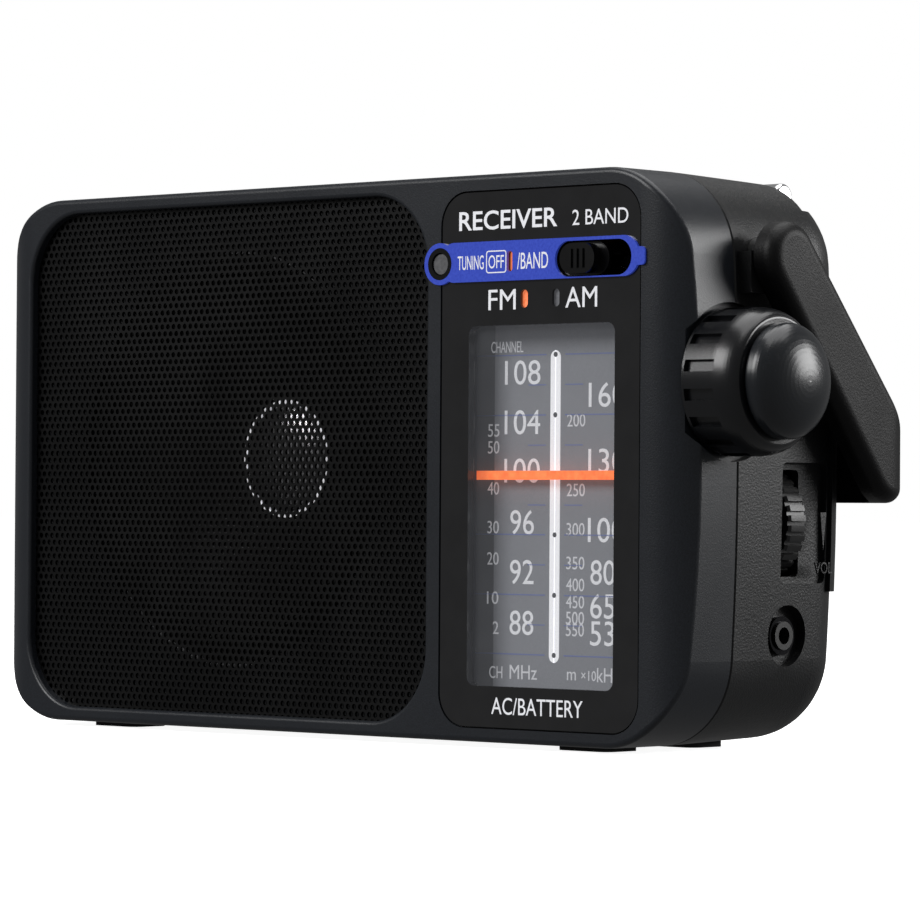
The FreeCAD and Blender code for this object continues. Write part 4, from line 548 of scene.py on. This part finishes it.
# ---------------------------------------------------------------- printing
def panel_print():
    """White words on the dial panel."""
    y = PANEL_FRONT
    words = [front_word("RECEIVER", 42.6, 70.6, 110.1, 114.2, y, 0.012),
             front_word("2 BAND", 74.8, 90.2, 110.2, 113.4, y),
             front_word("FM", 51.2, 59.0, 93.0, 97.3, y),
             front_word("AM", 73.0, 81.8, 93.0, 97.3, y),
             front_word("AC/BATTERY", 52.8, 78.5, 7.3, 10.9, y)]
    piece("panel_words", *gathered(words), "case", "panel_smoke", WHITE_INK)


def bar_print():
    """Small white words on the blue bar, with OFF in a thin rounded frame."""
    y = BAR_FRONT
    frame_out, frame_in = pill(51.0, 56.8, 100.8, 105.6, 0.7), pill(51.25, 56.55, 101.05, 105.35, 0.45)
    n = len(frame_out)
    outline = np.concatenate([frame_out, frame_in])
    ring = np.arange(n)
    after = np.roll(ring, -1)
    points = np.zeros((4 * n, 3))
    points[:, 0] = np.tile(outline[:, 0], 2)
    points[:, 2] = np.tile(outline[:, 1], 2)
    points[:2 * n, 1] = y - INK
    points[2 * n:, 1] = y + INK_SUNK
    front = np.stack([ring, after, after + n, ring + n], axis=1)
    outside = np.stack([after, ring, ring + 2 * n, after + 2 * n], axis=1)
    inside = np.stack([ring + n, after + n, after + 3 * n, ring + 3 * n], axis=1)
    faces = np.concatenate([front, front[:, ::-1] + 2 * n, outside, inside]).tolist()
    words = [front_word("TUNING", 42.8, 50.3, 101.7, 104.7, y),
             front_word("OFF", 51.7, 56.1, 101.8, 104.6, y),
             front_word("/BAND", 59.9, 68.6, 101.4, 104.9, y),
             (points, faces)]
    piece("bar_words", *gathered(words), "case", "trim_blue", WHITE_INK)


FM_NUMBERS = (("108", 79.9), ("104", 69.3), ("100", 59.0), ("96", 48.0), ("92", 37.4), ("88", 26.6))
CHANNEL_NUMBERS = (("55", 67.6), ("50", 64.0), ("40", 55.2), ("30", 46.9), ("20", 40.2), ("10", 31.8),
                   ("2", 25.4))
METRE_NUMBERS = (("200", 69.6), ("250", 54.9), ("300", 46.6), ("350", 39.5), ("400", 34.9), ("450", 31.3),
                 ("500", 27.9), ("550", 25.4))
AM_NUMBERS = (("160", 74.9), ("130", 61.0), ("100", 46.5), ("80", 37.6), ("65", 30.5), ("53", 24.8))
DOT_HEIGHTS = (83.6, 70.8, 58.0, 45.4, 32.6, 19.9)
BAR_X = (62.8, 65.6)    # white bar down the middle of the scale
FM_MIDDLE = 55.1        # the left column's numbers are centred here
AM_START = 75.9         # and the right column's longer numbers start further left of this
AM_SHIFT = 0.8          # by this much for each digit
DIGIT_W, DIGIT_H = 3.6, 5.2


def number(text, x, z, digit_w, height, from_left):
    """A number of even digits, started or ended at x, with z at the middle of its height."""
    wide = digit_w * len(text)
    x0 = x if from_left else x - wide
    return front_word(text, x0, x0 + wide * 0.94, z - height / 2, z + height / 2, SCALE_FRONT)


def scale_print():
    """Numbers, units and lines on the scale plate."""
    big = [number(text, FM_MIDDLE + len(text) * DIGIT_W / 2, z, DIGIT_W, DIGIT_H, False)
           for text, z in FM_NUMBERS]
    big += [number(text, AM_START - len(text) * AM_SHIFT, z, DIGIT_W, DIGIT_H, True)
            for text, z in AM_NUMBERS]
    piece("scale_numbers", *gathered(big), "case", "scale_print", WHITE_INK)
    small = [number(text, 48.4, z, 1.75, 2.7, False) for text, z in CHANNEL_NUMBERS]
    small += [number(text, 67.5, z, 1.8, 2.7, True) for text, z in METRE_NUMBERS]
    small += [front_word("CH", 45.7, 49.5, 14.6, 17.2, SCALE_FRONT),
              front_word("MHz", 51.6, 59.4, 14.6, 17.6, SCALE_FRONT),
              front_word("m", 67.9, 70.4, 14.8, 16.6, SCALE_FRONT),
              front_word("×10", 71.9, 76.0, 14.8, 16.9, SCALE_FRONT),
              front_word("kHz", 76.3, 82.4, 14.6, 17.6, SCALE_FRONT),
              front_word("CHANNEL", 45.7, 54.9, 84.2, 86.6, SCALE_FRONT)]
    piece("scale_units", *gathered(small), "case", "scale_print", GREY_INK)
    lines = []
    middle = sum(BAR_X) / 2
    for z in DOT_HEIGHTS:
        lines += [strip(38.6, middle - 2.7, z, 0.28, SCALE_FRONT),
                  strip(middle + 2.7, 87.6, z, 0.28, SCALE_FRONT)]
    for above, below in zip(DOT_HEIGHTS, DOT_HEIGHTS[1:]):
        z = (above + below) / 2
        lines += [strip(middle - 7.7, middle - 2.7, z, 0.24, SCALE_FRONT),
                  strip(middle + 2.7, middle + 7.7, z, 0.24, SCALE_FRONT)]
    piece("scale_lines", *gathered(lines), "case", "scale_print", BLUE_INK)
    bar = raised(pill(*BAR_X, 18.3, 84.5, 1.49), SCALE_FRONT + INK_SUNK, SCALE_FRONT - 2 * INK)
    piece("scale_bar", *bar, "case", "scale_print", BAR_INK)
    dots = [raised(pill(middle - 0.55, middle + 0.55, z - 0.55, z + 0.55, 0.54, 6),
                   SCALE_FRONT, SCALE_FRONT - 3 * INK) for z in DOT_HEIGHTS]
    piece("scale_dots", *gathered(dots), "case", "scale_print", DOT_INK)


def flag_print():
    """Patches on the sliding flag, behind the three small windows: orange for what is on
    when the slider is at the left, grey for the other band, and the other way when it is
    at the right."""
    def patch(x0, x1, z):
        return raised(pill(x0, x1, z - 2.2, z + 2.2, 0.3), FLAG_FRONT + INK_SUNK, FLAG_FRONT - INK)

    orange = [patch(54.3, 59.4, 103.2), patch(60.2, 64.4, 95.2)]
    grey = [patch(66.2, 73.4, 95.2), patch(54.3, 58.6, 95.2)]
    piece("flag_patches", *gathered(orange), "band", "flag_print", ORANGE_PATCH_PAINTED_GLOW)
    piece("flag_patches_grey", *gathered(grey), "band", "flag_print", GREY_PATCH_PAINTED_GLOW)


RIM_PAST_CAP = 0.3      # the rim's circle is this much wider than the cap
RIM_R = 0.42
RIM_AHEAD = 1.0         # and lies this far in front of the cap's back
RIM_STEPS, RIM_SIDES = 72, 8


def cap_glint_ring():
    """A ring at the cap's edge that glows as a painted glint: a small circle carried round a large one."""
    low, high = inside_case("dust_cap")
    middle_x, middle_z = (low[0] + high[0]) / 2, (low[2] + high[2]) / 2
    ring_r = (high[0] - low[0]) / 2 + RIM_PAST_CAP
    around = np.linspace(0, 2 * math.pi, RIM_STEPS, endpoint=False)
    across = np.linspace(0, 2 * math.pi, RIM_SIDES, endpoint=False)
    u, v = np.meshgrid(around, across, indexing="ij")
    out = ring_r + RIM_R * np.cos(v)
    points = np.stack([middle_x + out * np.cos(u), high[1] - RIM_AHEAD + RIM_R * np.sin(v),
                       middle_z + out * np.sin(u)], axis=2).reshape(-1, 3)
    row, column = np.meshgrid(np.arange(RIM_STEPS), np.arange(RIM_SIDES), indexing="ij")
    next_row, next_column = (row + 1) % RIM_STEPS, (column + 1) % RIM_SIDES
    faces = np.stack([row * RIM_SIDES + column, row * RIM_SIDES + next_column,
                      next_row * RIM_SIDES + next_column, next_row * RIM_SIDES + column],
                     axis=2).reshape(-1, 4)
    piece("cap_glint_ring", points, faces.tolist(), "cone", "cap_bright", RIM_PAINTED_GLINT, smooth=True)


def volume_mark():
    """VOL raised in the volume dish, and a wedge that thickens towards louder."""
    dish_x = inside_case("rear_cabinet")[1][0] - 2.2
    letters = side_word("VOL", 43.6, 49.4, 37.6, 40.0, dish_x, 0.35)
    y = np.array([45.4, 47.4, 46.4])
    z = np.array([50.5, 50.5, 42.5])
    points = np.stack([np.repeat([dish_x + 0.3, dish_x - INK_SUNK], 3), np.tile(y, 2), np.tile(z, 2)], axis=1)
    wedge = (points, [[0, 2, 1], [3, 4, 5], [0, 1, 4, 3], [1, 2, 5, 4], [2, 0, 3, 5]])
    piece("volume_words", *gathered([letters, wedge]), "case", "cabinet_black", FINISHES["cabinet_black"])


panel_print()
bar_print()
scale_print()
flag_print()
cap_glint_ring()
volume_mark()


# ---------------------------------------------------------------- floor, light and camera
FLOOR_R = 30.0


def floor():
    """A round floor: rings of points whose radius grows as the square of the step. It
    glows, and neither lights the set nor shows in its gloss."""
    steps, spokes = 24, 96
    radius = FLOOR_R * np.linspace(0, 1, steps + 1)[1:] ** 2
    turn = np.linspace(0, 2 * math.pi, spokes, endpoint=False)
    rings = np.stack([np.outer(radius, np.cos(turn)), np.outer(radius, np.sin(turn)),
                      np.full((steps, spokes), -0.0001)], axis=2).reshape(-1, 3)
    ring = np.arange(spokes)
    after = np.roll(ring, -1)
    first = [ring.tolist()]
    bands = [np.stack([ring + k * spokes, ring + (k + 1) * spokes, after + (k + 1) * spokes,
                       after + k * spokes], axis=1).tolist() for k in range(steps - 1)]
    mesh = bpy.data.meshes.new("floor")
    mesh.from_pydata(rings.tolist(), [], first + [face for band in bands for face in band])
    mesh.materials.append(finish("floor_paper", (236, 236, 236), (240, 240, 240), (0.85, 0.95), grain=4.0,
                                 dust=0.0, specular=0.0, glow=1.08))
    mesh.update()
    made = bpy.data.objects.new("floor", mesh)
    made.visible_diffuse = False
    made.visible_glossy = False
    bpy.context.scene.collection.objects.link(made)


def softbox(name, place, aim, size, watts):
    """A square area light at place, turned to face aim."""
    light = bpy.data.lights.new(name, "AREA")
    light.shape = "RECTANGLE"
    light.size, light.size_y = size
    light.energy = watts
    made = bpy.data.objects.new(name, light)
    made.location = place
    made.rotation_euler = (Vector(aim) - Vector(place)).to_track_quat("-Z", "Y").to_euler()
    made.visible_camera = False
    bpy.context.scene.collection.objects.link(made)


REFLECTED_GREY = 0.17   # of full white


def surroundings():
    """White behind the set, and a darker grey to what the set reflects."""
    world = bpy.data.worlds.new("studio")
    bpy.context.scene.world = world
    world.use_nodes = True
    tree = world.node_tree
    seen = tree.nodes.new("ShaderNodeLightPath")
    strength = tree.nodes.new("ShaderNodeMapRange")
    strength.inputs["To Min"].default_value = REFLECTED_GREY
    strength.inputs["To Max"].default_value = 1.0
    background = tree.nodes["Background"]
    background.inputs["Color"].default_value = (1, 1, 1, 1)
    tree.links.new(seen.outputs["Is Camera Ray"], strength.inputs["Value"])
    tree.links.new(strength.outputs["Result"], background.inputs["Strength"])


EYE = (705.3, -715.9, 49.9)     # the camera's place, in case millimetres
LENS, SENSOR_W = 178.7, 36.0


def camera():
    """The view: right, up and forward directions, and where the eye is."""
    right = Vector((0.73429, 0.67880, 0.00678)).normalized()
    up = Vector((0.00289, -0.01311, 0.99991))
    back = right.cross(up).normalized()
    up = back.cross(right)
    lens = bpy.data.cameras.new("view")
    lens.lens = LENS
    lens.sensor_width = SENSOR_W
    made = bpy.data.objects.new("view", lens)
    made.matrix_world = Matrix.Translation(to_frame([EYE])[0].tolist()) @ Matrix(
        (right, up, back)).transposed().to_4x4()
    bpy.context.scene.collection.objects.link(made)
    bpy.context.scene.camera = made


floor()
surroundings()
softbox("overhead", (0.1, 0.25, 1.3), (0, 0, 0.05), (1.6, 1.2), 16)
softbox("right_back", (1.1, 1.15, 0.5), (0.1, 0, 0.08), (0.8, 0.6), 14)
softbox("left_front", (-0.7, -1.6, 1.1), (0, 0, 0.06), (1.2, 0.9), 29)
camera()
bpy.context.scene.view_settings.view_transform = "Standard"
